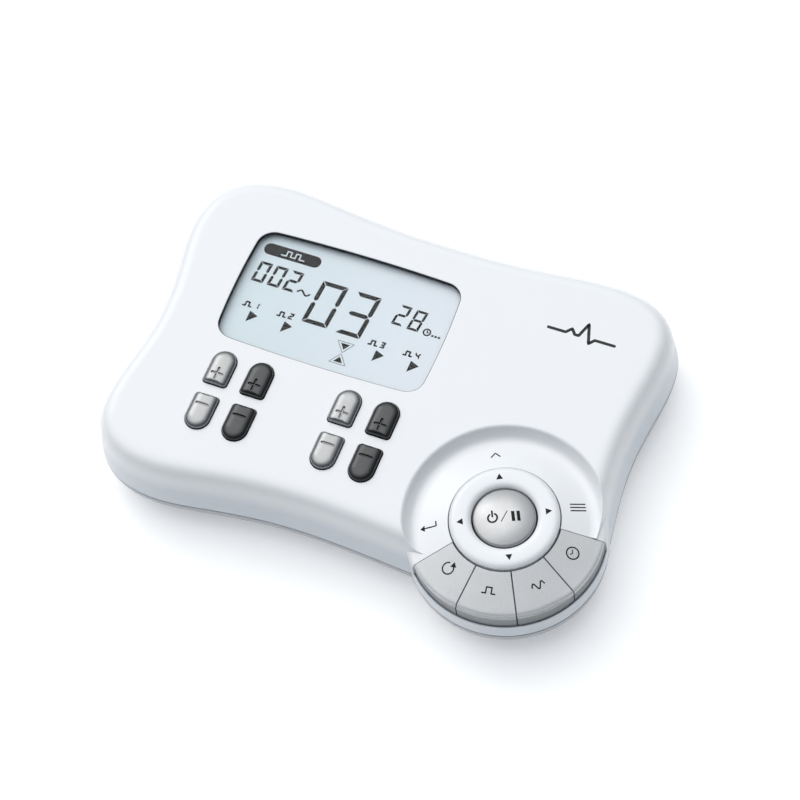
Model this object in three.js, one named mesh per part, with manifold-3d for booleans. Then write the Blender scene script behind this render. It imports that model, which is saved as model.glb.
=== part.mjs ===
// Four-channel desk-top nerve stimulator, built as an assembly of separate
// solids. Millimetres, +Z up, +X along the long side, +Y to the rear.
// Origin: centre of the footprint, on the surface that the feet stand on.
import * as THREE from 'three';
import { mergeVertices } from 'three/addons/utils/BufferGeometryUtils.js';
import Module from 'manifold-3d';

const wasm = await Module();
wasm.setup();

// ---------------------------------------------------------------- dimensions
const TOP = 31.0;            // top face of the housing
const PART = 13.0;           // parting line between the two shells
const SEAM = 0.3;            // gap at the parting line and round loose pieces
const WALL = 2.2;            // shell wall
const CEIL = 28.6;           // inside of the top face
const BASE = 1.2;            // underside of the lower shell
const FLOOR = 3.2;           // inside of the lower shell's floor
const DRAFT = 0.1495;        // wall lean per millimetre of height
const EDGE_R = 5.6;          // rounded top edge

// control points of the closed cubic B-spline that the walls follow at the
// parting line: waisted sides, corners of about 20 mm
const OUTLINE = [
  [-85.5, -39.4], [-74.8, -52.0], [-57.3, -55.4], [-38.3, -51.8], [-20.3, -49.4],
  [-3.4, -49.0], [13.5, -49.9], [31.8, -51.1], [51.6, -52.3], [70.5, -50.8],
  [82.9, -41.9], [85.4, -25.9], [81.9, -7.2], [81.2, 11.5], [84.5, 30.3],
  [85.0, 47.6], [75.2, 59.0], [57.1, 61.7], [37.0, 59.3], [18.3, 57.9],
  [1.4, 58.1], [-15.4, 58.5], [-33.5, 60.4], [-53.0, 63.3], [-71.0, 61.7],
  [-83.4, 51.2], [-86.1, 34.4], [-81.6, 15.6], [-80.2, -3.2], [-84.2, -22.0],
];
const OUT_N = 48;            // points round the outline

// round control cluster
const DIAL = [54.0, -30.8];  // its axis
const APEX = 35.3;           // the deck and the curved keys lie on one shallow cone with this apex height
const SLOPE = 0.3086;        // its fall for each mm of radius
const COL_R = 31.6;          // radius of the round column at the parting line
const RIM_R = 31.4;          // and at the rim under the key skirts
const RIM_Z = 19.3;          // top of that rim
const DIAL_SEG = 48;
const HOLE_R = 17.4;         // hole for the ring
const RING_RO = 17.0;
const RING_RI = 10.1;
const RING_TOP = 31.65;
const BUTTON_R = 9.6;
const KEY_A0 = -134.4;       // the four curved keys span this sector, degrees
const KEY_A1 = 8.6;
const KEY_GAP = 0.5;
const KEY_RI = 17.8;
const KEY_RO = 30.75;
const SHELF = 21.3;          // floor of the well under the curved keys
const DIAL_BOARD = [15.0, 16.6];
const DIAL_TRAVEL = 0.6;     // press of the curved keys and the round button

// display
const WIN = { x: -22.1, y: 20.2, w: 72.6, h: 43.05, r: 6.0, bow: 1.0 };
const LENS = [28.9, 30.3];    // clear plate, a little below the top
const FLANGE = [28.5, 29.3];  // its flange, in a rebate under the top wall
const GLASS = [25.5, 28.3];   // display panel, wider than the opening

// channel keys: column centres and the flat ends of the two rows
const CH_X = [-49.5, -36.55, -6.3, 6.65];
const CH_W = 8.0;
const CH_LEN = 12.2;
const PLUS_Y = -18.0;
const MINUS_Y = -22.2;
const CH_TOP = 33.0;

// boards
const BOARD = [20.5, 22.1];

// battery compartment (three AA cells lying along X)
const TUB = { x0: -66, x1: -8, y0: -26.0, y1: 24.1, roof: 18.9 };
const CELL_R = 7.25;
const CELL_Y = [-16.4, -0.95, 14.5];
const CELL_Z = 11.25;
const CELL_X = [-62.2, -12.0];

const SOCKET_X = [-45, -15, 15, 45];
const SCREWS = [[-60, -40], [18, -38], [70, 46], [-70, 47]];
const FEET = [[-66, -31], [60, -38], [62, 34], [-64, 36]];

// ------------------------------------------------------------------- helpers
const rad = (d) => (d * Math.PI) / 180;

function solid(geometry) {
  let g = geometry.clone();
  g.deleteAttribute('normal');
  g.deleteAttribute('uv');
  g = mergeVertices(g, 1e-4);
  const p = g.attributes.position;
  const idx = g.index ? Array.from(g.index.array) : [...Array(p.count).keys()];
  let tri = [];
  for (let i = 0; i < idx.length; i += 3) {
    const [a, b, c] = [idx[i], idx[i + 1], idx[i + 2]];
    if (a !== b && b !== c && a !== c) tri.push(a, b, c);
  }
  let vol = 0;
  const v = (i) => new THREE.Vector3().fromBufferAttribute(p, i);
  for (let i = 0; i < tri.length; i += 3) {
    vol += v(tri[i]).dot(v(tri[i + 1]).cross(v(tri[i + 2])));
  }
  if (vol < 0) {
    for (let i = 0; i < tri.length; i += 3) [tri[i], tri[i + 1]] = [tri[i + 1], tri[i]];
  }
  return new wasm.Manifold(new wasm.Mesh({
    numProp: 3,
    vertProperties: new Float32Array(p.array),
    triVerts: new Uint32Array(tri),
  }));
}

function geometryOf(m) {
  const mesh = m.getMesh();
  const g = new THREE.BufferGeometry();
  g.setAttribute('position', new THREE.BufferAttribute(new Float32Array(mesh.vertProperties), 3));
  g.setIndex(new THREE.BufferAttribute(new Uint32Array(mesh.triVerts), 1));
  g.computeVertexNormals();
  return g;
}

const join = (...s) => s.reduce((a, b) => a.add(b));
const cut = (a, ...s) => s.reduce((x, b) => x.subtract(b), a);

// straight prism on a list of [x, y] points
function prism(points, z0, z1) {
  const shape = new THREE.Shape(points.map(([x, y]) => new THREE.Vector2(x, y)));
  const g = new THREE.ExtrudeGeometry(shape, { depth: z1 - z0, bevelEnabled: false, curveSegments: 1 });
  g.translate(0, 0, z0);
  return solid(g);
}

function box(x0, x1, y0, y1, z0, z1) {
  const g = new THREE.BoxGeometry(x1 - x0, y1 - y0, z1 - z0);
  g.translate((x0 + x1) / 2, (y0 + y1) / 2, (z0 + z1) / 2);
  return solid(g);
}

// body of revolution about a vertical axis through (cx, cy)
function revolve(profile, seg, cx = 0, cy = 0) {
  const g = new THREE.LatheGeometry(profile.map(([r, z]) => new THREE.Vector2(r, z)), seg);
  g.rotateX(Math.PI / 2);
  g.translate(cx, cy, 0);
  return solid(g);
}

const rod = (r, z0, z1, seg, cx = 0, cy = 0) =>
  revolve([[0, z0], [r, z0], [r, z1], [0, z1]], seg, cx, cy);

// lying cylinder along X
function rodX(profile, seg, cy, cz) {
  const g = new THREE.LatheGeometry(profile.map(([r, x]) => new THREE.Vector2(r, x)), seg);
  g.rotateZ(-Math.PI / 2);
  g.translate(0, cy, cz);
  return solid(g);
}

// closed uniform cubic B-spline
function spline(ctrl, n) {
  const out = [];
  const m = ctrl.length;
  for (let k = 0; k < n; k++) {
    const s = (k / n) * m;
    const i = Math.floor(s);
    const t = s - i;
    const b = [(1 - t) ** 3, 3 * t ** 3 - 6 * t ** 2 + 4, -3 * t ** 3 + 3 * t ** 2 + 3 * t + 1, t ** 3];
    const d = [-((1 - t) ** 2), 3 * t ** 2 - 4 * t, -3 * t ** 2 + 2 * t + 1, t ** 2];
    let x = 0, y = 0, dx = 0, dy = 0;
    for (let j = 0; j < 4; j++) {
      const c = ctrl[(i - 1 + j + m) % m];
      x += (b[j] * c[0]) / 6; y += (b[j] * c[1]) / 6;
      dx += (d[j] * c[0]) / 2; dy += (d[j] * c[1]) / 2;
    }
    const l = Math.hypot(dx, dy);
    out.push({ x, y, nx: dy / l, ny: -dx / l });
  }
  return out;
}
const wallLine = spline(OUTLINE, OUT_N);
const inset = (d) => wallLine.map((p) => [p.x - p.nx * d, p.y - p.ny * d]);

// stack of outline rings, each [inset, z], closed with flat ends
function stack(levels) {
  const n = OUT_N;
  const pos = [];
  levels.forEach(([d, z]) => inset(d).forEach(([x, y]) => pos.push(x, y, z)));
  const idx = [];
  for (let l = 0; l + 1 < levels.length; l++) {
    for (let k = 0; k < n; k++) {
      const a = l * n + k, b = l * n + ((k + 1) % n);
      idx.push(a, b, b + n, a, b + n, a + n);
    }
  }
  const cap = (l, flip) => {
    const ring = inset(levels[l][0]).map(([x, y]) => new THREE.Vector2(x, y));
    THREE.ShapeUtils.triangulateShape(ring, []).forEach(([a, b, c]) => {
      if (flip) idx.push(l * n + a, l * n + c, l * n + b);
      else idx.push(l * n + a, l * n + b, l * n + c);
    });
  };
  cap(0, true);
  cap(levels.length - 1, false);
  const g = new THREE.BufferGeometry();
  g.setAttribute('position', new THREE.Float32BufferAttribute(pos, 3));
  g.setIndex(idx);
  return solid(g);
}

// ring sector about the dial axis; `gap` moves both straight sides inwards
function sector(r0, r1, a0, a1, z0, z1, gap = 0, seg = 16) {
  const pts = [];
  const at = (r, a, side) => {
    const da = side * Math.asin(Math.min(0.9, gap / r));
    return [DIAL[0] + r * Math.cos(rad(a) + da), DIAL[1] + r * Math.sin(rad(a) + da)];
  };
  for (let i = 0; i <= seg; i++) {
    const f = i / seg;
    pts.push(at(r1, a0 + (a1 - a0) * f, 1 - 2 * f));
  }
  for (let i = seg; i >= 0; i--) {
    const f = i / seg;
    pts.push(at(r0, a0 + (a1 - a0) * f, 1 - 2 * f));
  }
  return prism(pts, z0, z1);
}

// display outline: rounded rectangle with gently bowed sides
function windowLine(grow, bow = WIN.bow, r = WIN.r) {
  const hw = WIN.w / 2 + grow, hh = WIN.h / 2 + grow, rr = Math.max(0.8, r + grow);
  const pts = [];
  const corner = (cx, cy, a0) => {
    for (let i = 0; i <= 4; i++) {
      const a = rad(a0 + i * 22.5);
      pts.push([cx + rr * Math.cos(a), cy + rr * Math.sin(a)]);
    }
  };
  const side = (x0, y0, x1, y1) => {
    for (let i = 1; i < 4; i++) pts.push([x0 + ((x1 - x0) * i) / 4, y0 + ((y1 - y0) * i) / 4]);
  };
  corner(hw - rr, -hh + rr, -90); side(hw, -hh + rr, hw, hh - rr);
  corner(hw - rr, hh - rr, 0); side(hw - rr, hh, -hw + rr, hh);
  corner(-hw + rr, hh - rr, 90); side(-hw, hh - rr, -hw, -hh + rr);
  corner(-hw + rr, -hh + rr, 180); side(-hw + rr, -hh, hw - rr, -hh);
  return pts.map(([x, y]) => [
    WIN.x + x - Math.sign(x) * bow * Math.abs(x / hw) ** 6 * (y / hh) ** 2,
    WIN.y + y - Math.sign(y) * bow * Math.abs(y / hh) ** 6 * (x / hw) ** 2,
  ]);
}

// D-shaped key outline, flat at y = flat and round towards dir
function keyLine(cx, flat, dir, grow = 0) {
  const r = CH_W / 2 + grow;
  const yc = flat + dir * (CH_LEN - CH_W / 2);
  const f = flat - dir * grow;
  const pts = [];
  const seg = 8;
  for (let i = 0; i <= seg; i++) {
    const a = (i / seg) * Math.PI;
    pts.push([cx + r * Math.cos(a), yc + dir * r * Math.sin(a)]);
  }
  pts.push([cx - r, f + dir * 0.7], [cx - r + 0.7, f], [cx + r - 0.7, f], [cx + r, f + dir * 0.7]);
  if (dir < 0) pts.reverse();
  return pts;
}

const white = { color: 0xeff1f2, roughness: 0.25, metalness: 0.0 };
const group = new THREE.Group();
function put(name, body, m) {
  const mesh = new THREE.Mesh(geometryOf(body), new THREE.MeshStandardMaterial(m));
  mesh.name = name;
  group.add(mesh);
}

// --------------------------------------------------------------- top housing
const wallD = (z) => (z - PART) * DRAFT;
const edgeZ = TOP - EDGE_R;
const shellLevels = [[wallD(PART + SEAM), PART + SEAM], [wallD(edgeZ), edgeZ]];
for (let i = 1; i <= 4; i++) {
  const a = rad(i * 22.5);
  shellLevels.push([wallD(edgeZ) + EDGE_R * (1 - Math.cos(a)), edgeZ + EDGE_R * Math.sin(a)]);
}
const cone = (r) => APEX - SLOPE * r;
// the deck sinks below the top of the housing, so a round valley surrounds it
const coveCut = revolve([[0, cone(16)], [16, cone(16)], [28.4, cone(28.4)], [29.3, cone(28.9)], [30.05, 27.3],
  [30.5, 28.6], [30.9, 29.9], [31.3, 30.75], [31.6, TOP + 0.05], [31.8, TOP + 4], [0, TOP + 4]], DIAL_SEG, ...DIAL);
const deckColumn = revolve([[0, PART + SEAM], [COL_R, PART + SEAM], [RIM_R, RIM_Z], [31.25, 24.6], [31.0, 25.3],
  [30.4, cone(30.4)], [16, cone(16)], [0, cone(16)]], DIAL_SEG, ...DIAL);

const innerR = 3.4;
const cavLevels = [[WALL, PART - 2], [WALL + wallD(CEIL - innerR), CEIL - innerR]];
for (let i = 1; i <= 2; i++) {
  const a = rad(i * 45);
  cavLevels.push([WALL + wallD(CEIL - innerR) + innerR * (1 - Math.cos(a)), CEIL - innerR + innerR * Math.sin(a)]);
}
const keyBlock = join(
  sector(HOLE_R - 1, 31.0, KEY_A0 - 5, KEY_A1 + 5, SHELF - 2, TOP + 0.4),
  sector(26.4, 33.0, KEY_A0 - 5, KEY_A1 + 5, PART - 3, TOP + 0.4),
);
const dialCavity = revolve([[0, PART - 2], [29.2, PART - 2], [28.6, 23.4], [28.0, cone(28) - 2.3], [16, cone(16) - 2.3],
  [0, cone(16) - 2.3]], DIAL_SEG, ...DIAL);
const deckSkin = revolve([[0, cone(16) - 2.3], [16, cone(16) - 2.3], [28, cone(28) - 2.3], [31, 24.0], [33.6, 26.6],
  [33.6, TOP + 4], [0, TOP + 4]], DIAL_SEG, ...DIAL);

let top = join(cut(stack(shellLevels), coveCut), deckColumn);
top = cut(top, cut(stack(cavLevels), keyBlock, deckSkin));
top = cut(top, cut(dialCavity, keyBlock));
// well for the curved keys, and the channel outside it for their skirts
top = cut(top,
  sector(HOLE_R - 1, 28.4, KEY_A0, KEY_A1, SHELF, TOP + 4),
  sector(28.35, 30.95, KEY_A0, KEY_A1, 18.2, TOP + 4),
  sector(30.9, 36, KEY_A0, KEY_A1, RIM_Z, TOP + 4),
  rod(HOLE_R, PART - 3, TOP + 4, DIAL_SEG, ...DIAL));
// plunger holes under the curved keys
const keySpan = (KEY_A1 - KEY_A0) / 4;
const keyMid = [0, 1, 2, 3].map((i) => KEY_A0 + keySpan * (i + 0.5));
const PLUNGE_R = 21.9;
const polar = (r, a) => [DIAL[0] + r * Math.cos(rad(a)), DIAL[1] + r * Math.sin(rad(a))];
keyMid.forEach((a) => { top = cut(top, rod(2.3, SHELF - 4, SHELF + 1, 16, ...polar(PLUNGE_R, a))); });
// display opening with a rebate underneath for the window's flange
top = cut(top, prism(windowLine(0), 24, TOP + 4), prism(windowLine(1.8), 24, FLANGE[1] + 0.1));
// channel key holes
CH_X.forEach((x) => {
  top = cut(top, prism(keyLine(x, PLUS_Y, 1, 0.35), 24, TOP + 4), prism(keyLine(x, MINUS_Y, -1, 0.35), 24, TOP + 4));
});
// screw posts
SCREWS.forEach(([x, y]) => {
  top = join(top, rod(3.6, PART + SEAM, CEIL + 0.6, 12, x, y));
});
SCREWS.forEach(([x, y]) => { top = cut(top, rod(1.5, PART - 1, 23.5, 8, x, y)); });
// notches in the rear wall for the lead sockets
const rearY = (x) => {
  let best = 0;
  for (let k = 0; k < OUT_N; k++) {
    const a = wallLine[k], b = wallLine[(k + 1) % OUT_N];
    if (a.y > 40 && b.y > 40 && (a.x - x) * (b.x - x) <= 0 && a.x !== b.x) {
      best = a.y + ((x - a.x) / (b.x - a.x)) * (b.y - a.y);
    }
  }
  return best;
};
SOCKET_X.forEach((x) => {
  const y = rearY(x);
  top = cut(top, box(x - 5.8, x + 5.8, y - 12, y + 6, PART - 2, 20.4));
});
put('top_housing', top, white);

// ------------------------------------------------------------ bottom housing
const under = [[0, PART - 0.05], [0.45, 9.6], [2.0, 6.2], [5.2, 3.3], [8.4, 1.8], [12.0, BASE]];
const underIn = [[3.9, PART + 4], [3.9, 9.4], [6.0, 5.8], [12.0, FLOOR]];
const dialLevels = (lv, grow = 0) => revolve(
  [[0, lv[0][1]], ...lv.map(([d, z]) => [COL_R - d + grow, z]), [0, lv[lv.length - 1][1]]].reverse(), 36, ...DIAL);
let bottom = join(stack([...under].reverse()), dialLevels(under));
bottom = cut(bottom, join(stack([...underIn].reverse()), dialLevels(underIn)));
// tongue that centres the upper shell
const tongue = cut(
  join(stack([[3.0, PART - 0.8], [3.0, PART + 1.6]]), rod(28.7, PART - 0.8, PART + 1.6, 36, ...DIAL)),
  join(stack([[3.9, PART - 2], [3.9, PART + 3]]), rod(27.8, PART - 2, PART + 3, 36, ...DIAL)),
  sector(20, 34, KEY_A0 - 8, KEY_A1 + 8, PART - 0.05, PART + 4),
  ...SOCKET_X.map((x) => box(x - 7, x + 7, 40, 66, PART - 0.05, PART + 4)),
);
bottom = join(bottom, tongue);
// battery tub, its entry guides and the door's track
bottom = join(bottom,
  box(TUB.x0 - 1.6, TUB.x1 + 1.6, TUB.y0 - 1.6, TUB.y1 + 1.6, FLOOR - 1, TUB.roof + 1.4),
  box(-73.0, TUB.x0, TUB.y0 - 1.6, TUB.y1 + 1.6, FLOOR - 0.6, 5.6));
bottom = cut(bottom,
  box(TUB.x0, TUB.x1, TUB.y0, TUB.y1, 2.0, TUB.roof),
  box(-90, TUB.x1, TUB.y0, TUB.y1, 2.0, 3.6),
  box(-90, TUB.x1, TUB.y0 + 1.5, TUB.y1 - 1.5, 0, 2.1));
// partial ribs between the cells, hanging from the tub roof
CELL_Y.slice(0, 2).forEach((y, i) => {
  const m = (y + CELL_Y[i + 1]) / 2;
  bottom = join(bottom, box(-50, -24, m - 0.3, m + 0.3, TUB.roof - 2.6, TUB.roof + 0.4));
});
// screw posts and board posts
SCREWS.forEach(([x, y]) => { bottom = join(bottom, rod(4.9, FLOOR - 1, PART - 0.05, 14, x, y)); });
SCREWS.forEach(([x, y]) => {
  bottom = cut(bottom, rod(3.3, BASE - 1, 7.0, 16, x, y), rod(1.7, 6.5, PART + 1, 8, x, y));
});
const POSTS = [[-58, 30], [0, 44], [58, 12], [10, -20]];
POSTS.forEach(([x, y]) => { bottom = join(bottom, rod(2.4, FLOOR - 1, BOARD[0] - 0.3, 8, x, y)); });
const dialPosts = [60, 165, 280].map((a) => polar(21, a));
dialPosts.forEach(([x, y]) => { bottom = join(bottom, rod(2.2, FLOOR - 1, DIAL_BOARD[0] - 0.3, 8, x, y)); });
// pockets for the feet
FEET.forEach(([x, y]) => { bottom = cut(bottom, rod(5.3, BASE - 1, 2.0, 20, x, y)); });
put('bottom_housing', bottom, { color: 0xe4e6e8, roughness: 0.35, metalness: 0 });

// -------------------------------------------------------------- battery door
let door = join(
  box(-90, TUB.x1 - 0.35, TUB.y0 + 0.3, TUB.y1 - 0.3, 2.35, 3.3),
  box(-90, TUB.x1 - 0.35, TUB.y0 + 1.8, TUB.y1 - 1.8, BASE, 2.6)).intersect(stack([...under].reverse()));
for (let i = 0; i < 5; i++) {
  door = cut(door, box(-66 + i * 2.4, -64.8 + i * 2.4, -12, 10, BASE - 1, BASE + 0.5));
}
put('battery_door', door, { color: 0xdfe2e4, roughness: 0.4, metalness: 0 });

// ---------------------------------------------------- feet and housing screws
FEET.forEach(([x, y], i) => {
  put(`foot_${i + 1}`, revolve([[0, 0], [4.5, 0], [5.0, 0.5], [5.0, 1.7], [0, 1.7]], 20, x, y),
    { color: 0x3a3c3e, roughness: 0.9, metalness: 0 });
});
SCREWS.forEach(([x, y], i) => {
  let s = revolve([[0, 4.5], [2.6, 4.5], [2.9, 5.0], [2.9, 6.6], [1.2, 6.6], [1.2, 21.6], [0.4, 23.0], [0, 23.0]], 12, x, y);
  s = cut(s, box(x - 2.0, x + 2.0, y - 0.35, y + 0.35, 4, 5.4), box(x - 0.35, x + 0.35, y - 2.0, y + 2.0, 4, 5.4));
  put(`housing_screw_${i + 1}`, s, { color: 0xb9bcc0, roughness: 0.35, metalness: 1 });
});

// ------------------------------------------------------------------- display
put('display_window', join(prism(windowLine(-0.3), ...LENS), prism(windowLine(1.5), ...FLANGE)), { color: 0xe8eef2, roughness: 0.05, metalness: 0 });
const LCD = [WIN.x - 37.3, WIN.x + 37.3, WIN.y - 22.2, WIN.y + 22.2];
put('lcd_glass', box(...LCD, ...GLASS), { color: 0xccdbe2, roughness: 0.15, metalness: 0 });
put('lcd_frame', cut(
  box(LCD[0] - 1.6, LCD[1] + 1.6, LCD[2] - 1.5, LCD[3] + 1.5, 22.6, 26.8),
  box(LCD[0] - 0.3, LCD[1] + 0.3, LCD[2] - 0.3, LCD[3] + 0.3, 23.3, 28),
  box(WIN.x - 30.5, WIN.x + 30.5, LCD[2] + 0.3, LCD[2] + 3.1, 22, 24),
), { color: 0xd8dadc, roughness: 0.5, metalness: 0 });
put('lcd_backlight', box(LCD[0], LCD[1], LCD[2] + 3.6, LCD[3], 23.6, 25.2), { color: 0xf5f7fa, roughness: 0.6, metalness: 0 });
put('lcd_connector_strip', box(WIN.x - 30, WIN.x + 30, LCD[2] + 0.7, LCD[2] + 2.7, 22.4, 25.2),
  { color: 0xd98a9a, roughness: 0.8, metalness: 0 });

// -------------------------------------------------------------- channel keys
const KEY_FLOOR = 25.3;
function channelKey(x, flat, dir) {
  const mid = [x, flat + (dir * CH_LEN) / 2];
  const scaled = (pts, s) => pts.map(([px, py]) => [mid[0] + (px - mid[0]) * s, mid[1] + (py - mid[1]) * s]);
  const line = keyLine(x, flat, dir);
  let k = prism(line, 28.2, TOP + 0.6);
  k = join(k, prism(scaled(line, 0.86), TOP + 0.5, CH_TOP));
  k = join(k, prism(keyLine(x, flat, dir, 0.9), 27.2, 28.3));
  return join(k, rod(1.9, KEY_FLOOR, 27.5, 12, mid[0], mid[1]));
}
const silver = { color: 0xc9cdd2, roughness: 0.3, metalness: 0.5 };
const anthracite = { color: 0x4a4e54, roughness: 0.3, metalness: 0.5 };
CH_X.forEach((x, i) => {
  const m = i % 2 === 0 ? silver : anthracite;
  put(`ch${i + 1}_plus_key`, channelKey(x, PLUS_Y, 1), m);
  put(`ch${i + 1}_minus_key`, channelKey(x, MINUS_Y, -1), m);
});

// -------------------------------------------------------------- round cluster
put('nav_ring', revolve([[RING_RI, 25.3], [RING_RI, 30.3], [10.8, 31.15], [12.2, 31.55], [13.5, RING_TOP], [14.8, 31.55],
  [16.2, 31.15], [RING_RO, 30.3], [RING_RO, 25.3], [15.6, 25.3], [15.6, 29.0], [11.4, 29.0],
  [11.4, 25.3], [RING_RI, 25.3]], 40, ...DIAL), { color: 0xf2f3f4, roughness: 0.2, metalness: 0 });
const ringPlunge = [27, 117, 207, 297];
let plate = revolve([[RING_RI + 0.2, 22.8], [16.4, 22.8], [16.4, 24.6], [RING_RI + 0.2, 24.6], [RING_RI + 0.2, 22.8]], 36, ...DIAL);
ringPlunge.forEach((a) => { plate = join(plate, rod(1.8, 18.9, 23.2, 12, ...polar(13.3, a))); });
put('nav_ring_actuator', plate, { color: 0xc8cacc, roughness: 0.5, metalness: 0 });
put('power_button', join(
  revolve([[0, 26.0], [BUTTON_R, 26.0], [BUTTON_R, 30.6], [9.0, 31.3], [6.0, 32.1], [0, 32.5]], 36, ...DIAL),
  rod(2.6, 18.8, 26.4, 16, ...DIAL)), { color: 0x9a9ca0, roughness: 0.35, metalness: 0.6 });

// curved keys: a sloping top, a skirt over the edge, a plunger below
const keyBody = revolve([[KEY_RI, 27.4], [KEY_RI, cone(KEY_RI) - 0.25], [18.1, cone(18.1)], [30.0, cone(30)], [30.45, 25.55], [30.7, 24.9],
  [KEY_RO, 24.4], [KEY_RO, 19.0], [29.1, 19.0], [28.9, 23.4], [28.2, 24.2], [24.0, 25.5], [KEY_RI, 27.4]],
  DIAL_SEG, ...DIAL);
['cycle_key', 'pulse_width_key', 'frequency_key', 'timer_key'].forEach((name, i) => {
  const a0 = KEY_A0 + keySpan * i, a1 = a0 + keySpan;
  const piece = keyBody.intersect(sector(15, 34, a0, a1, 10, 34, KEY_GAP / 2, 8));
  put(name, join(piece, rod(1.9, 18.65, 26.8, 12, ...polar(PLUNGE_R, keyMid[i]))), { color: 0xa9adb3, roughness: 0.4, metalness: 0.6 });
});

// ------------------------------------------------------------------ key mats
const matZ = BOARD[1] + 0.2;
let mat = box(-56.5, 11.2, -36, -4.5, matZ, matZ + 0.7);
mat = cut(mat, rod(3.2, matZ - 1, matZ + 2, 16, 10, -20));
CH_X.forEach((x) => {
  mat = join(mat,
    revolve([[0, matZ + 0.3], [2.9, matZ + 0.3], [2.2, matZ + 1.9], [0, matZ + 1.9]], 8, x, PLUS_Y + CH_LEN / 2),
    revolve([[0, matZ + 0.3], [2.9, matZ + 0.3], [2.2, matZ + 1.9], [0, matZ + 1.9]], 8, x, MINUS_Y - CH_LEN / 2));
});
put('channel_key_mat', mat, { color: 0xd0d2d4, roughness: 0.8, metalness: 0 });
const dm = DIAL_BOARD[1] + 0.2;
let dmat = rod(24.4, dm, dm + 0.5, 36, ...DIAL);
const dome = (x, y) => revolve([[0, dm + 0.2], [2.4, dm + 0.2], [1.8, dm + 1.15], [0, dm + 1.15]], 8, x, y);
keyMid.forEach((a) => { dmat = join(dmat, dome(...polar(PLUNGE_R, a))); });
ringPlunge.forEach((a) => { dmat = join(dmat, dome(...polar(13.3, a))); });
dmat = join(dmat, dome(...DIAL));
put('dial_key_mat', dmat, { color: 0xd0d2d4, roughness: 0.8, metalness: 0 });

// -------------------------------------------------------------------- boards
let board = prism([[-74, -36], [-70, -40], [13, -40], [13, 4], [74, 4], [74, 42], [66, 50], [-66, 50], [-74, 42]], ...BOARD);
SCREWS.forEach(([x, y]) => { board = cut(board, rod(4.6, 15, 30, 16, x, y)); });
put('main_board', board, { color: 0x2f6b3c, roughness: 0.5, metalness: 0 });
put('dial_board', rod(25.4, ...DIAL_BOARD, 36, ...DIAL), { color: 0x2f6b3c, roughness: 0.5, metalness: 0 });
// flat cable: a bent ribbon from the main board's edge down to the dial board
{
  const path = [[11.7, 22.4], [17, 22.4], [20, 21.5], [22.4, 18.5], [24.6, 16.95], [29.2, 16.95],
    [29.2, 17.35], [24.8, 17.35], [22.8, 18.8], [20.4, 21.9], [17.2, 22.8], [11.7, 22.8]];
  const shape = new THREE.Shape(path.map(([x, z]) => new THREE.Vector2(x, z)));
  const g = new THREE.ExtrudeGeometry(shape, { depth: 10, bevelEnabled: false });
  g.rotateX(Math.PI / 2);
  g.translate(0, -23, 0);
  put('ribbon_cable', solid(g), { color: 0x9aa0a6, roughness: 0.6, metalness: 0 });
}

// --------------------------------------------- lead sockets and transformers
SOCKET_X.forEach((x, i) => {
  const y = rearY(x) - 0.9;
  const z0 = PART + 0.3, z1 = 20.1;
  const zc = (z0 + z1) / 2;
  let s = box(x - 5.5, x + 5.5, y - 13, y, z0, z1);
  s = cut(s, box(x - 4.4, x + 4.4, y - 8, y + 2, zc - 2.55, zc + 2.55));
  const hole = new THREE.CylinderGeometry(1.25, 1.25, 6, 16);
  hole.translate(x, y - 9.5, zc);
  s = cut(s, solid(hole));
  put(`output_socket_${i + 1}`, s, { color: 0x2a2c2f, roughness: 0.5, metalness: 0 });
  put(`output_transformer_${i + 1}`, join(
    box(x - 7, x + 7, 28.7, 39.7, 9.6, 20.2),
    box(x - 4.6, x + 4.6, 27.0, 41.4, 11.2, 18.6)), { color: 0x4b4e52, roughness: 0.5, metalness: 0.3 });
});
put('mcu_chip', box(52, 64, 28, 40, BOARD[1] + 0.3, BOARD[1] + 1.8), { color: 0x1b1c1e, roughness: 0.5, metalness: 0 });
put('reservoir_capacitor', rod(4.0, 7.6, BOARD[0] - 0.3, 20, 66, 20), { color: 0x24324f, roughness: 0.4, metalness: 0.2 });
put('buzzer', cut(rod(6.0, BOARD[1] + 0.3, 27.0, 24, 40, 14), rod(1.2, 26, 28, 12, 40, 14)),
  { color: 0x1f2022, roughness: 0.5, metalness: 0 });

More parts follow.
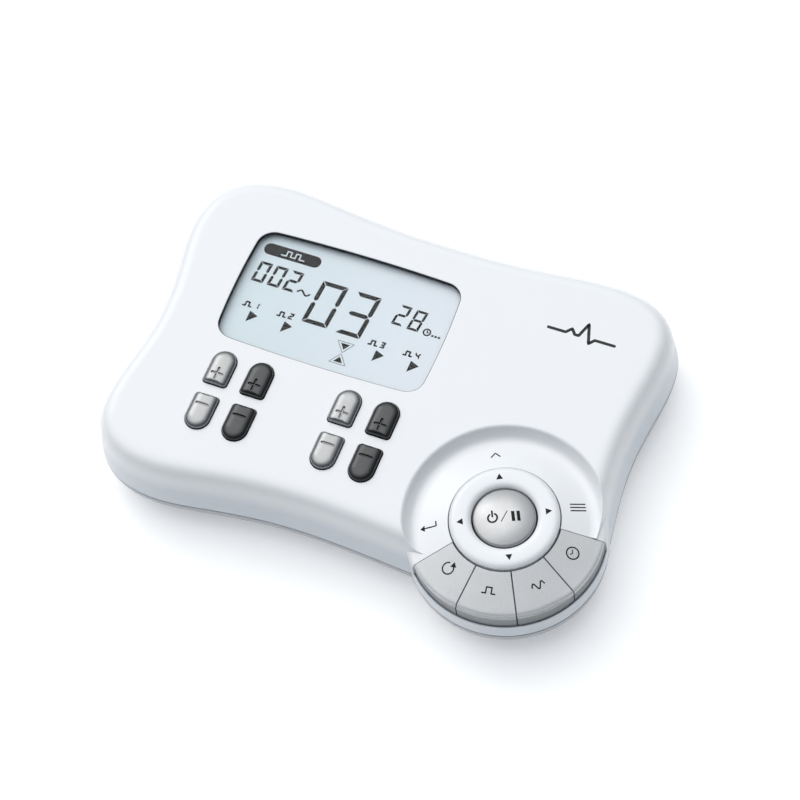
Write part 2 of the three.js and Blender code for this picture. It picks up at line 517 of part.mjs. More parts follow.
// ------------------------------------------------------------------ batteries
CELL_Y.forEach((y, i) => {
  const flip = i % 2 === 1;
  const [a, b] = CELL_X;
  const pts = [[0, a], [CELL_R - 0.6, a], [CELL_R, a + 0.6], [CELL_R, b - 1.9], [CELL_R - 0.6, b - 1.2],
    [2.6, b - 1.2], [2.6, b], [0, b]];
  let cell = rodX(pts, 18, y, CELL_Z);
  if (flip) {
    const g = geometryOf(cell);
    g.translate(-(a + b) / 2, 0, 0);
    g.rotateZ(Math.PI);
    g.translate((a + b) / 2, 2 * y, 0);
    cell = solid(g);
  }
  put(`battery_${i + 1}`, cell, { color: 0x4a6a52, roughness: 0.35, metalness: 0.3 });
  // coil at the cell's flat end, sprung against a plate on the tub wall
  const dir = flip ? -1 : 1;
  const x0 = flip ? TUB.x1 - 0.6 : TUB.x0 + 0.6;
  class Coil extends THREE.Curve {
    getPoint(t, out = new THREE.Vector3()) {
      const a2 = t * 2.5 * 2 * Math.PI;
      const r = 4.2 - 1.6 * t;
      return out.set(x0 + dir * (0.3 + 2.35 * t), y + r * Math.cos(a2), CELL_Z + r * Math.sin(a2));
    }
  }
  const sec = new THREE.Shape();
  for (let k = 0; k < 4; k++) {
    const a3 = (k / 4) * 2 * Math.PI;
    if (k === 0) sec.moveTo(0.24, 0); else sec.lineTo(0.24 * Math.cos(a3), 0.24 * Math.sin(a3));
  }
  const coil = solid(new THREE.ExtrudeGeometry(sec, { steps: 26, extrudePath: new Coil(), bevelEnabled: false }));
  put(`battery_spring_${i + 1}`, coil, { color: 0xc4c7ca, roughness: 0.3, metalness: 1 });
  const px = flip ? TUB.x0 + 0.3 : TUB.x1 - 0.8;
  put(`battery_contact_${i + 1}`, box(px, px + 0.5, y - 5, y + 5, CELL_Z - 5, CELL_Z + 5), { color: 0xc4c7ca, roughness: 0.3, metalness: 1 });
});

export default group;
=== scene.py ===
# Desk-top four-channel stimulator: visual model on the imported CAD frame.
# Lengths in the shape code are millimetres; every mesh is scaled to metres when it is made final.
import bpy
import math
import numpy as np
from mathutils import Matrix, Vector


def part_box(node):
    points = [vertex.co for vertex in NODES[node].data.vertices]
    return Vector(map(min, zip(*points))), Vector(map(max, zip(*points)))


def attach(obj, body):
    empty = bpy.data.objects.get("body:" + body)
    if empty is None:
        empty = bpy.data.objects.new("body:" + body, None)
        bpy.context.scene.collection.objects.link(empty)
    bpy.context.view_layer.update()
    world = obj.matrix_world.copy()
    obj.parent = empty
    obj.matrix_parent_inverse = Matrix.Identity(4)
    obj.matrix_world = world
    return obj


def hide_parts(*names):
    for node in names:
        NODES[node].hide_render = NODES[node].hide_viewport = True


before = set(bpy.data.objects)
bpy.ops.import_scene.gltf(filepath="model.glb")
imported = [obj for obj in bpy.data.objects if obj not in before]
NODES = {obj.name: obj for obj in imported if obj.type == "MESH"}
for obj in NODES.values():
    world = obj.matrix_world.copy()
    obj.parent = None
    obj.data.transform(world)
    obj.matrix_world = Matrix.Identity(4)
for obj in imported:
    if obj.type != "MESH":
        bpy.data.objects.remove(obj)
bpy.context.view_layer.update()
TAU = 2 * math.pi

# ------------------------------------------------------------------ dimensions
OUTLINE = np.array([
    [-85.5, -39.4], [-74.8, -52.0], [-57.3, -55.4], [-38.3, -51.8], [-20.3, -49.4], [-3.4, -49.0],
    [13.5, -49.9], [31.8, -51.1], [51.6, -52.3], [70.5, -50.8], [82.9, -41.9], [85.4, -25.9],
    [81.9, -7.2], [81.2, 11.5], [84.5, 30.3], [85.0, 47.6], [75.2, 59.0], [57.1, 61.7],
    [37.0, 59.3], [18.3, 57.9], [1.4, 58.1], [-15.4, 58.5], [-33.5, 60.4], [-53.0, 63.3],
    [-71.0, 61.7], [-83.4, 51.2], [-86.1, 34.4], [-81.6, 15.6], [-80.2, -3.2], [-84.2, -22.0]])
TOP, PART, DRAFT, WALL, CEIL, BASE, FLOOR = 31.0, 13.0, 0.1495, 2.2, 28.6, 1.2, 3.2
DIAL = np.array([54.0, -30.8])
APEX, SLOPE, HOLE_R, SHELF = 35.3, 0.3086, 17.4, 21.3      # deck and curved keys lie on one shallow cone
COL_R, RIM_R, RIM_Z = 31.6, 31.4, 19.3
KEY_A0, KEY_A1 = -134.4, 8.6
KEY_SPAN = (KEY_A1 - KEY_A0) / 4
PLUNGE_R = 21.9
WIN = dict(x=-22.1, y=20.2, w=72.6, h=43.05, r=6.0, bow=1.0)
CH_X = [-49.5, -36.55, -6.3, 6.65]
CH_W, CH_LEN, PLUS_Y, MINUS_Y = 8.0, 12.2, -18.0, -22.2
TUB = dict(x0=-66.0, x1=-8.0, y0=-26.0, y1=24.1, roof=18.9)
CELL_Y, CELL_Z, CELL_X, CELL_R = [-16.4, -0.95, 14.5], 11.25, (-62.2, -12.0), 7.25
SOCKET_X = [-45.0, -15.0, 15.0, 45.0]
SCREWS = [(-60, -40), (18, -38), (70, 46), (-70, 47)]
FEET = [(-66, -31), (60, -38), (62, 34), (-64, 36)]
LCD_Z = 28.3
N_OUT = 480


# ------------------------------------------------------------------ 2D outlines
def spline(ctrl, n):
    m = len(ctrl)
    s = np.arange(n) / n * m
    i = np.floor(s).astype(int)
    t = s - i
    b = np.stack([(1 - t) ** 3, 3 * t ** 3 - 6 * t ** 2 + 4, -3 * t ** 3 + 3 * t ** 2 + 3 * t + 1, t ** 3], 1) / 6
    d = np.stack([-(1 - t) ** 2, 3 * t ** 2 - 4 * t, -3 * t ** 2 + 2 * t + 1, t ** 2], 1) / 2
    idx = (i[:, None] - 1 + np.arange(4)[None, :]) % m
    p = (b[:, :, None] * ctrl[idx]).sum(1)
    g = (d[:, :, None] * ctrl[idx]).sum(1)
    g /= np.linalg.norm(g, axis=1)[:, None]
    return p, np.stack([g[:, 1], -g[:, 0]], 1)


OUT_P, OUT_N = spline(OUTLINE, N_OUT)


def inset(d, step=1):
    return (OUT_P - OUT_N * d)[::step]


def offset(p, d):
    """Moves a counter-clockwise closed line outwards by d, corners mitred."""
    e = np.roll(p, -1, 0) - p
    e /= np.linalg.norm(e, axis=1)[:, None]
    n = np.stack([e[:, 1], -e[:, 0]], 1)
    n0 = np.roll(n, 1, 0)
    return p + d * (n + n0) / (1 + (n * n0).sum(1))[:, None]


def circle(cx, cy, r, n=64):
    a = np.arange(n) / n * TAU
    return np.stack([cx + r * np.cos(a), cy + r * np.sin(a)], 1)


def rrect(cx, cy, w, h, r, seg=6, side=1):
    pts = []
    for qx, qy, a0 in ((1, -1, -90), (1, 1, 0), (-1, 1, 90), (-1, -1, 180)):
        for k in range(seg + 1):
            a = math.radians(a0 + 90 * k / seg)
            pts.append((cx + qx * (w / 2 - r) + r * math.cos(a), cy + qy * (h / 2 - r) + r * math.sin(a)))
    return dense(np.array(pts), side)


def dense(p, gap):
    """Adds points so that no side of a closed line is longer than gap."""
    if not gap:
        return p
    out = []
    for a, b in zip(p, np.roll(p, -1, 0)):
        n = max(1, int(math.ceil(np.linalg.norm(b - a) / gap)))
        for k in range(n):
            out.append(a + (b - a) * k / n)
    return np.array(out)


def window_line(grow, seg=14):
    hw, hh = WIN["w"] / 2 + grow, WIN["h"] / 2 + grow
    p = rrect(0, 0, 2 * hw, 2 * hh, max(0.8, WIN["r"] + grow), seg, 1.2)
    x, y = p[:, 0].copy(), p[:, 1].copy()
    bow = WIN["bow"]
    p[:, 0] = WIN["x"] + x - np.sign(x) * bow * np.abs(x / hw) ** 6 * (y / hh) ** 2
    p[:, 1] = WIN["y"] + y - np.sign(y) * bow * np.abs(y / hh) ** 6 * (x / hw) ** 2
    return p


def key_line(cx, flat, d, grow=0.0, seg=28, rc=1.1):
    """D outline: flat at y = flat, round towards d."""
    r = CH_W / 2 + grow
    yc = flat + d * (CH_LEN - CH_W / 2)
    f = flat - d * grow
    pts = [(cx + r * math.cos(math.pi * i / seg), yc + d * r * math.sin(math.pi * i / seg)) for i in range(seg + 1)]
    for k in range(9):
        a = math.pi / 2 * k / 8
        pts.append((cx - r + rc - rc * math.cos(a), f + d * (rc - rc * math.sin(a))))
    for k in range(9):
        a = math.pi / 2 * k / 8
        pts.append((cx + r - rc + rc * math.sin(a), f + d * (rc - rc * math.cos(a))))
    p = np.array(pts)
    keep = np.linalg.norm(p - np.roll(p, 1, 0), axis=1) > 1e-4
    p = p[keep]
    if d < 0:
        p = p[::-1]
    return dense(p, 0.6)


def sector_line(r0, r1, a0, a1, gap=0.0, seg=64):
    c = DIAL
    pts = []
    for r, seq in ((r1, range(seg + 1)), (r0, range(seg, -1, -1))):
        for i in seq:
            f = i / seg
            a = math.radians(a0 + (a1 - a0) * f) + (1 - 2 * f) * math.asin(min(0.9, gap / r))
            pts.append((c[0] + r * math.cos(a), c[1] + r * math.sin(a)))
    return np.array(pts)


def cone(r):
    return APEX - SLOPE * r


def polar(r, a):
    return DIAL[0] + r * math.cos(math.radians(a)), DIAL[1] + r * math.sin(math.radians(a))


def bezier(p0, p1, p2, p3, n):
    t = np.linspace(0, 1, n)[:, None]
    p0, p1, p2, p3 = map(np.array, (p0, p1, p2, p3))
    return ((1 - t) ** 3 * p0 + 3 * t * (1 - t) ** 2 * p1 + 3 * t ** 2 * (1 - t) * p2 + t ** 3 * p3).tolist()


def smooth_line(pts, k):
    """Catmull-Rom through the points, k steps a span."""
    p = np.array(pts, float)
    q = np.vstack([2 * p[0] - p[1], p, 2 * p[-1] - p[-2]])
    out = []
    for i in range(1, len(q) - 2):
        for t in np.arange(k) / k:
            a, b, c, d = q[i - 1], q[i], q[i + 1], q[i + 2]
            out.append(0.5 * (2 * b + (c - a) * t + (2 * a - 5 * b + 4 * c - d) * t * t + (3 * b - a - 3 * c + d) * t ** 3))
    out.append(p[-1])
    return [tuple(v) for v in out]


# ------------------------------------------------------------------ mesh making
def signed_volume(v, faces):
    vol = 0.0
    for f in faces:
        a = v[f[0]]
        for i in range(1, len(f) - 1):
            vol += np.dot(a, np.cross(v[f[i]], v[f[i + 1]]))
    return vol


def make(v, faces, name="piece"):
    v = np.asarray(v, float)
    if signed_volume(v, faces) < 0:
        faces = [tuple(reversed(f)) for f in faces]
    me = bpy.data.meshes.new(name)
    me.from_pydata(v.tolist(), [], faces)
    me.update()
    o = bpy.data.objects.new(name, me)
    bpy.context.scene.collection.objects.link(o)
    return o


def loft(rings, name="loft", wrap_ends=False):
    """Closed solid through rings of equal count; each ring is (n, 3)."""
    n, m = len(rings[0]), len(rings)
    v = np.vstack(rings)
    f = []
    for l in range(m if wrap_ends else m - 1):
        a0, b0 = l * n, ((l + 1) % m) * n
        for k in range(n):
            k2 = (k + 1) % n
            f.append((a0 + k, a0 + k2, b0 + k2, b0 + k))
    if not wrap_ends:
        f.append(tuple(range(n - 1, -1, -1)))
        f.append(tuple(range((m - 1) * n, m * n)))
    return make(v, f, name)


def lift(p, z):
    return np.column_stack([p, np.full(len(p), float(z))])


def stack(levels, step=1, name="stack"):
    return loft([lift(inset(d, step), z) for d, z in levels], name)


def prism(line, z0, z1, rb=0.0, rt=0.0, seg=5, name="prism"):
    """Prism on an outline, with rounded lower and upper edges."""
    lv = []
    if rb:
        lv += [(rb * (1 - math.sin(a)), z0 + rb * (1 - math.cos(a))) for a in np.linspace(0, math.pi / 2, seg + 1)]
    else:
        lv.append((0, z0))
    if rt:
        lv += [(rt * (1 - math.cos(a)), z1 - rt + rt * math.sin(a)) for a in np.linspace(0, math.pi / 2, seg + 1)]
    else:
        lv.append((0, z1))
    return loft([lift(offset(line, -d), z) for d, z in lv], name)


def flare_cut(line, z0, ztop, r, up=4.0, seg=6, name="cut"):
    """Cutter that leaves a rounded rim of radius r where it meets the plane ztop."""
    lv = [(0, z0)]
    end = math.radians(80)
    zc = ztop - r * math.sin(end)
    lv += [(r * (1 - math.cos(a)), zc + r * math.sin(a)) for a in np.linspace(0, end, seg + 1)]
    d, z = lv[-1]
    lv.append((d + 0.02, z + 0.004))
    lv.append((d + 0.03, ztop + up))
    return loft([lift(offset(line, g), z) for g, z in lv], name)


def box(x0, x1, y0, y1, z0, z1, r=0.0):
    if r:
        return prism(rrect((x0 + x1) / 2, (y0 + y1) / 2, x1 - x0, y1 - y0, r, 5, 0), z0, z1)
    return prism(np.array([[x0, y0], [x1, y0], [x1, y1], [x0, y1]]), z0, z1)


def revolve(profile, seg=144, cx=0.0, cy=0.0, closed=False, name="turned"):
    """Body of revolution about a vertical axis; the profile starts and ends on the axis, or closes on itself."""
    v, f, rows = [], [], []
    ang = np.arange(seg) / seg * TAU
    for r, z in profile:
        if r < 1e-9:
            rows.append([len(v)])
            v.append((cx, cy, z))
        else:
            rows.append(list(range(len(v), len(v) + seg)))
            v += [(cx + r * math.cos(a), cy + r * math.sin(a), z) for a in ang]
    pairs = list(zip(rows, rows[1:])) + ([(rows[-1], rows[0])] if closed else [])
    for a, b in pairs:
        for k in range(seg):
            k2 = (k + 1) % seg
            if len(a) == 1 and len(b) == 1:
                continue
            if len(a) == 1:
                f.append((a[0], b[k2], b[k]))
            elif len(b) == 1:
                f.append((a[k], a[k2], b[0]))
            else:
                f.append((a[k], a[k2], b[k2], b[k]))
    return make(np.array(v), f, name)


def rod(r, z0, z1, cx, cy, seg=32):
    return revolve([(0, z0), (r, z0), (r, z1), (0, z1)], seg, cx, cy)


def turn_x(obj, y, z):
    """Takes a body turned about the z axis at the origin and lays it along +X through (y, z)."""
    co = np.array([p.co for p in obj.data.vertices])
    new = np.column_stack([co[:, 2], y + co[:, 0], z + co[:, 1]])
    for p, c in zip(obj.data.vertices, new):
        p.co = c
    return obj


def drop(o):
    me = o.data
    bpy.data.objects.remove(o)
    bpy.data.meshes.remove(me)


def boolean(a, b, op):
    before = len(a.data.vertices)
    for solver in ("MANIFOLD", "EXACT"):
        m = a.modifiers.new("b", "BOOLEAN")
        m.operation, m.solver, m.object = op, solver, b
        bpy.context.view_layer.update()
        dg = bpy.context.evaluated_depsgraph_get()
        me = bpy.data.meshes.new_from_object(a.evaluated_get(dg))
        a.modifiers.clear()
        if len(me.vertices) > 8 and len(me.vertices) != before:
            break
        print("boolean", op, solver, "gave", len(me.vertices), "from", before)
    old = a.data
    a.data = me
    bpy.data.meshes.remove(old)
    drop(b)
    return a


def cut(a, *bs):
    for b in bs:
        boolean(a, b, "DIFFERENCE")
    return a


def join(a, *bs):
    for b in bs:
        boolean(a, b, "UNION")
    return a


def common(a, b):
    return boolean(a, b, "INTERSECT")


def merge(parts, name):
    """Several separate closed bodies in one mesh."""
    v, f, off = [], [], 0
    for o in parts:
        v += [tuple(p.co) for p in o.data.vertices]
        f += [tuple(i + off for i in p.vertices) for p in o.data.polygons]
        off += len(o.data.vertices)
        drop(o)
    me = bpy.data.meshes.new(name)
    me.from_pydata(v, [], f)
    me.update()
    o = bpy.data.objects.new(name, me)
    bpy.context.scene.collection.objects.link(o)
    return o


def soft_normals(me, angle=38.0):
    """Custom normals weighted by area, so large flat faces stay flat and rounded edges stay smooth."""
    nl, nf, nv = len(me.loops), len(me.polygons), len(me.vertices)
    vi = np.empty(nl, np.int64)
    me.loops.foreach_get("vertex_index", vi)
    ls = np.empty(nf, np.int64)
    lt = np.empty(nf, np.int64)
    me.polygons.foreach_get("loop_start", ls)
    me.polygons.foreach_get("loop_total", lt)
    pn = np.empty(nf * 3)
    me.polygons.foreach_get("normal", pn)
    pn = pn.reshape(-1, 3)
    pa = np.empty(nf)
    me.polygons.foreach_get("area", pa)
    co = np.empty(nv * 3)
    me.vertices.foreach_get("co", co)
    co = co.reshape(-1, 3)
    pf = np.repeat(np.arange(nf), lt)
    li = np.arange(nl)
    nxt = li + 1
    last = ls + lt - 1
    nxt[last] = ls
    prv = li - 1
    prv[ls] = last
    a = co[vi[nxt]] - co[vi]
    b = co[vi[prv]] - co[vi]
    ca = (a * b).sum(1) / (np.linalg.norm(a, axis=1) * np.linalg.norm(b, axis=1) + 1e-30)
    w = pa[pf] * np.arccos(np.clip(ca, -1, 1)) + 1e-18
    order = np.argsort(vi, kind="stable")
    counts = np.bincount(vi, minlength=nv)
    start = np.concatenate([[0], np.cumsum(counts)])[:-1]
    sv = vi[order]
    cnt = counts[sv]
    i_ = np.repeat(np.arange(nl), cnt)
    o_ = np.arange(len(i_)) - np.repeat(np.cumsum(cnt) - cnt, cnt)
    j_ = start[sv][i_] + o_
    fi, fj = pf[order][i_], pf[order][j_]
    m = (pn[fi] * pn[fj]).sum(1) > math.cos(math.radians(angle))
    wi = w[order][j_] * m
    out = np.stack([np.bincount(i_, weights=wi * pn[fj][:, c], minlength=nl) for c in range(3)], 1)
    ln = np.linalg.norm(out, axis=1)
    bad = ln < 1e-20
    out[bad] = pn[pf[order][bad]]
    ln[bad] = 1
    out /= ln[:, None]
    res = np.empty_like(out)
    res[order] = out
    me.polygons.foreach_set("use_smooth", np.ones(nf, bool))
    me.normals_split_custom_set(res.tolist())


def final(o, name, body, mat, replaces=(), slot=None, angle=38.0):
    """Scales to metres, sets normals and material, and ties the piece to its body."""
    o.name = name
    o.data.name = name
    o.data.transform(Matrix.Scale(0.001, 4))
    o.data.update()
    soft_normals(o.data, angle)
    o.data.materials.clear()
    o.data.materials.append(mat)
    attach(o, body)
    if replaces:
        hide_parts(*replaces)
    return o


# ------------------------------------------------------------------ materials
def mat_new(name):
    m = bpy.data.materials.new(name)
    m.use_nodes = True
    nt = m.node_tree
    nt.nodes.clear()
    out = nt.nodes.new("ShaderNodeOutputMaterial")
    b = nt.nodes.new("ShaderNodeBsdfPrincipled")
    nt.links.new(b.outputs[0], out.inputs[0])
    tc = nt.nodes.new("ShaderNodeTexCoord")
    return m, nt, b, tc


def noise(nt, tc, scale, detail=3.0, rough=0.55, stretch=None):
    n = nt.nodes.new("ShaderNodeTexNoise")
    n.inputs["Scale"].default_value = scale
    n.inputs["Detail"].default_value = detail
    n.inputs["Roughness"].default_value = rough
    if stretch:
        mp = nt.nodes.new("ShaderNodeMapping")
        mp.inputs["Scale"].default_value = stretch
        nt.links.new(tc.outputs["Object"], mp.inputs[0])
        nt.links.new(mp.outputs[0], n.inputs["Vector"])
    else:
        nt.links.new(tc.outputs["Object"], n.inputs["Vector"])
    return n


def ramp(nt, src, stops):
    r = nt.nodes.new("ShaderNodeValToRGB")
    el = r.color_ramp.elements
    el[0].position, el[0].color = stops[0][0], (*stops[0][1], 1)
    el[1].position, el[1].color = stops[-1][0], (*stops[-1][1], 1)
    for p, c in stops[1:-1]:
        e = el.new(p)
        e.color = (*c, 1)
    nt.links.new(src, r.inputs[0])
    return r


def maprange(nt, src, a, b, lo=0.3, hi=0.7):
    m = nt.nodes.new("ShaderNodeMapRange")
    m.inputs["From Min"].default_value = lo
    m.inputs["From Max"].default_value = hi
    m.inputs["To Min"].default_value = a
    m.inputs["To Max"].default_value = b
    nt.links.new(src, m.inputs["Value"])
    return m


def tone(c, k):
    return tuple(min(1.0, x * k) for x in c)


def surface(name, base, rough, metallic=0.0, cloud=(60, 0.02), grain=(2500, 0.03), bump=(2500, 0.00002, 0.15),
            rough_var=0.05, coat=0.0, coat_rough=0.1, spec=0.5, stretch=None, low_tone_and_shade=None):
    """Moulded or painted surface: slow cloudiness, fine grain in colour, roughness variation and a fine bump."""
    m, nt, b, tc = mat_new(name)
    c1 = noise(nt, tc, cloud[0], 2.0)
    g1 = noise(nt, tc, grain[0], 4.0, 0.6, stretch)
    r1 = ramp(nt, c1.outputs[0], [(0.3, tone(base, 1 - cloud[1])), (0.7, tone(base, 1 + cloud[1]))])
    r2 = ramp(nt, g1.outputs[0], [(0.3, (1 - grain[1],) * 3), (0.7, (1.0,) * 3)])
    low = r1.outputs[0]
    if low_tone_and_shade:      # a second, lower colour below a height: painted shade on the shell walls, two-tone paint on the curved keys
        z0, z1, c2 = low_tone_and_shade
        sz = nt.nodes.new("ShaderNodeSeparateXYZ")
        nt.links.new(tc.outputs["Object"], sz.inputs[0])
        tm = maprange(nt, sz.outputs[2], 0.0, 1.0, z0, z1)
        tr = ramp(nt, tm.outputs[0], [(0.0, tuple(x / y for x, y in zip(c2, base))), (1.0, (1.0,) * 3)])
        t2 = nt.nodes.new("ShaderNodeMix")
        t2.data_type, t2.blend_type = "RGBA", "MULTIPLY"
        t2.inputs[0].default_value = 1.0
        nt.links.new(low, t2.inputs[6])
        nt.links.new(tr.outputs[0], t2.inputs[7])
        low = t2.outputs[2]
    mx = nt.nodes.new("ShaderNodeMix")
    mx.data_type, mx.blend_type = "RGBA", "MULTIPLY"
    mx.inputs[0].default_value = 1.0
    nt.links.new(low, mx.inputs[6])
    nt.links.new(r2.outputs[0], mx.inputs[7])
    nt.links.new(mx.outputs[2], b.inputs["Base Color"])
    rr = noise(nt, tc, cloud[0] * 3.1, 4.0, 0.6)
    mr = maprange(nt, rr.outputs[0], max(0.02, rough - rough_var), rough + rough_var)
    nt.links.new(mr.outputs[0], b.inputs["Roughness"])
    bn = noise(nt, tc, bump[0], 3.0, 0.5, stretch)
    bp = nt.nodes.new("ShaderNodeBump")
    bp.inputs["Distance"].default_value = bump[1]
    bp.inputs["Strength"].default_value = bump[2]
    nt.links.new(bn.outputs[0], bp.inputs["Height"])
    nt.links.new(bp.outputs[0], b.inputs["Normal"])
    b.inputs["Metallic"].default_value = metallic
    b.inputs["Specular IOR Level"].default_value = spec
    b.inputs["Coat Weight"].default_value = coat
    b.inputs["Coat Roughness"].default_value = coat_rough
    return m


M = {}
# The shell's walls turn darker and bluer below 20.5-26.2 mm: that lower colour is painted shade, as the walls lie in
# shade
M["shell"] = surface("shell_white", (0.80, 0.812, 0.824), 0.30, cloud=(60, 0.003), grain=(1500, 0.005), rough_var=0.02,
                     bump=(300, 0.00002, 0.02), coat=0.25, coat_rough=0.12, low_tone_and_shade=(0.0205, 0.0262, (0.62, 0.662, 0.70)))
# The lower shell's grey is painted shade: far darker than the white top so the undercut near the floor reads dark
M["lower"] = surface("shell_lower_shaded", (0.47, 0.485, 0.505), 0.45, cloud=(30, 0.012), grain=(3000, 0.03),
                     bump=(3500, 0.00006, 0.35))
M["ring"] = surface("ring_white", (0.80, 0.815, 0.832), 0.22, cloud=(60, 0.004), grain=(1500, 0.006), rough_var=0.02,
                    bump=(400, 0.00002, 0.02), coat=0.4, coat_rough=0.08)
M["silver"] = surface("key_silver", (0.285, 0.288, 0.290), 0.27, 0.9, cloud=(220, 0.03), grain=(5000, 0.06),
                      bump=(5000, 0.00001, 0.08), rough_var=0.05, coat=0.25, coat_rough=0.15)
M["dark"] = surface("key_anthracite", (0.048, 0.049, 0.050), 0.26, 0.85, cloud=(220, 0.05), grain=(5000, 0.12),
                    bump=(5000, 0.00001, 0.1), rough_var=0.05, coat=0.3, coat_rough=0.15)
M["curved"] = surface("key_satin_silver", (0.61, 0.618, 0.622), 0.42, 0.15, cloud=(90, 0.02), grain=(2300, 0.10),
                      bump=(2600, 0.00003, 0.20), rough_var=0.06, low_tone_and_shade=(0.0238, 0.0246, (0.23, 0.245, 0.255)))
M["power"] = surface("key_power", (0.46, 0.462, 0.465), 0.34, 0.75, cloud=(120, 0.02), grain=(2500, 0.10),
                     bump=(2600, 0.00002, 0.15), rough_var=0.05)
M["print_grey"] = surface("print_grey", (0.030, 0.030, 0.031), 0.5, cloud=(300, 0.1), grain=(6000, 0.2), spec=0.2)
M["print"] = surface("print_black", (0.010, 0.010, 0.011), 0.5, cloud=(300, 0.1), grain=(6000, 0.2), spec=0.15)
M["seg"] = surface("display_ink", (0.012, 0.012, 0.013), 0.6, cloud=(150, 0.2), grain=(5000, 0.2), spec=0.08)
# near-black colour of the ring at the window edge: partly a dark seam, partly painted shade of the gap
M["gasket"] = surface("window_gasket", (0.020, 0.024, 0.028), 0.6, cloud=(150, 0.2), grain=(4000, 0.2), spec=0.15)
M["foot"] = surface("foot_rubber", (0.035, 0.036, 0.038), 0.75, cloud=(300, 0.15), grain=(4000, 0.3),
                    bump=(4000, 0.0001, 0.5), spec=0.3)
M["screw"] = surface("screw_steel", (0.58, 0.59, 0.60), 0.32, 1.0, cloud=(400, 0.05), grain=(5000, 0.15),
                     bump=(6000, 0.00003, 0.3), stretch=(1, 1, 0.2))
M["black"] = surface("socket_black", (0.022, 0.023, 0.025), 0.42, cloud=(200, 0.1), grain=(4000, 0.25),
                     bump=(4500, 0.00006, 0.4))
M["inner"] = surface("inner_plastic", (0.74, 0.75, 0.77), 0.5, cloud=(60, 0.02), grain=(2500, 0.04),
                     bump=(2500, 0.00005, 0.3))
M["mat"] = surface("mat_rubber", (0.62, 0.63, 0.64), 0.65, cloud=(120, 0.04), grain=(1500, 0.06),
                   bump=(1500, 0.00006, 0.4), spec=0.35)
M["contact"] = surface("contact_nickel", (0.66, 0.66, 0.65), 0.26, 1.0, cloud=(300, 0.05), grain=(4000, 0.1),
                       bump=(5000, 0.00003, 0.3), stretch=(0.2, 1, 1))
M["chip"] = surface("chip_black", (0.025, 0.025, 0.028), 0.5, cloud=(500, 0.1), grain=(6000, 0.3),
                    bump=(6000, 0.00005, 0.4))
M["sleeve"] = surface("capacitor_sleeve", (0.035, 0.05, 0.12), 0.3, cloud=(200, 0.1), grain=(3000, 0.1))
M["core"] = surface("transformer_core", (0.10, 0.10, 0.11), 0.55, 0.4, cloud=(150, 0.15), grain=(2500, 0.3),
                    bump=(1600, 0.0001, 0.5), stretch=(0.15, 1, 3))
M["strip"] = surface("strip_rubber", (0.55, 0.30, 0.34), 0.6, cloud=(150, 0.05), grain=(3500, 0.5),
                     bump=(3500, 0.00005, 0.4), stretch=(1, 0.05, 0.05))
M["ribbon"] = surface("ribbon_grey", (0.42, 0.43, 0.45), 0.5, cloud=(80, 0.04), grain=(1600, 0.35),
                      bump=(1600, 0.0001, 0.6), stretch=(0.05, 1, 0.05))
M["backlight"] = surface("backlight_diffuser", (0.86, 0.87, 0.88), 0.35, cloud=(90, 0.02), grain=(2200, 0.04),
                         bump=(1800, 0.00004, 0.3))


def board_mat():
    """Green solder mask with darker traces."""
    m, nt, b, tc = mat_new("circuit_board_green")
    br = nt.nodes.new("ShaderNodeTexBrick")
    br.inputs["Scale"].default_value = 260
    br.inputs["Mortar Size"].default_value = 0.03
    br.inputs["Color1"].default_value = (0.018, 0.11, 0.045, 1)
    br.inputs["Color2"].default_value = (0.022, 0.13, 0.055, 1)
    br.inputs["Mortar"].default_value = (0.045, 0.20, 0.09, 1)
    nt.links.new(tc.outputs["Object"], br.inputs["Vector"])
    nt.links.new(br.outputs["Color"], b.inputs["Base Color"])
    n = noise(nt, tc, 900, 3)
    mr = maprange(nt, n.outputs[0], 0.25, 0.4)
    nt.links.new(mr.outputs[0], b.inputs["Roughness"])
    bp = nt.nodes.new("ShaderNodeBump")
    bp.inputs["Distance"].default_value = 0.00005
    bp.inputs["Strength"].default_value = 0.4
    nt.links.new(br.outputs["Fac"], bp.inputs["Height"])
    nt.links.new(bp.outputs[0], b.inputs["Normal"])
    return m


M["board"] = board_mat()


def cell_mat(flip):
    """Cell jacket: dark green body, a lighter band at the positive end, bare metal ends."""
    m, nt, b, tc = mat_new("cell_jacket_b" if flip else "cell_jacket_a")
    sx = nt.nodes.new("ShaderNodeSeparateXYZ")
    nt.links.new(tc.outputs["Object"], sx.inputs[0])
    x0, x1 = CELL_X[0] / 1000, CELL_X[1] / 1000
    mr = maprange(nt, sx.outputs[0], 1.0 if flip else 0.0, 0.0 if flip else 1.0, x0, x1)
    r = ramp(nt, mr.outputs[0], [(0.0, (0.62, 0.62, 0.61)), (0.016, (0.03, 0.075, 0.05)), (0.70, (0.03, 0.075, 0.05)),
                                 (0.701, (0.55, 0.42, 0.16)), (0.955, (0.55, 0.42, 0.16)), (0.956, (0.62, 0.62, 0.61)),
                                 (1.0, (0.62, 0.62, 0.61))])
    r.color_ramp.interpolation = "CONSTANT"
    n = noise(nt, tc, 1400, 3)
    r2 = ramp(nt, n.outputs[0], [(0.3, (0.88,) * 3), (0.7, (1.0,) * 3)])
    mx = nt.nodes.new("ShaderNodeMix")
    mx.data_type, mx.blend_type = "RGBA", "MULTIPLY"
    mx.inputs[0].default_value = 1.0
    nt.links.new(r.outputs[0], mx.inputs[6])
    nt.links.new(r2.outputs[0], mx.inputs[7])
    nt.links.new(mx.outputs[2], b.inputs["Base Color"])
    mt = ramp(nt, mr.outputs[0], [(0.0, (1,) * 3), (0.016, (0.25,) * 3), (0.956, (1,) * 3), (1.0, (1,) * 3)])
    mt.color_ramp.interpolation = "CONSTANT"
    nt.links.new(mt.outputs[0], b.inputs["Metallic"])
    mr2 = maprange(nt, n.outputs[0], 0.2, 0.32)
    nt.links.new(mr2.outputs[0], b.inputs["Roughness"])
    return m


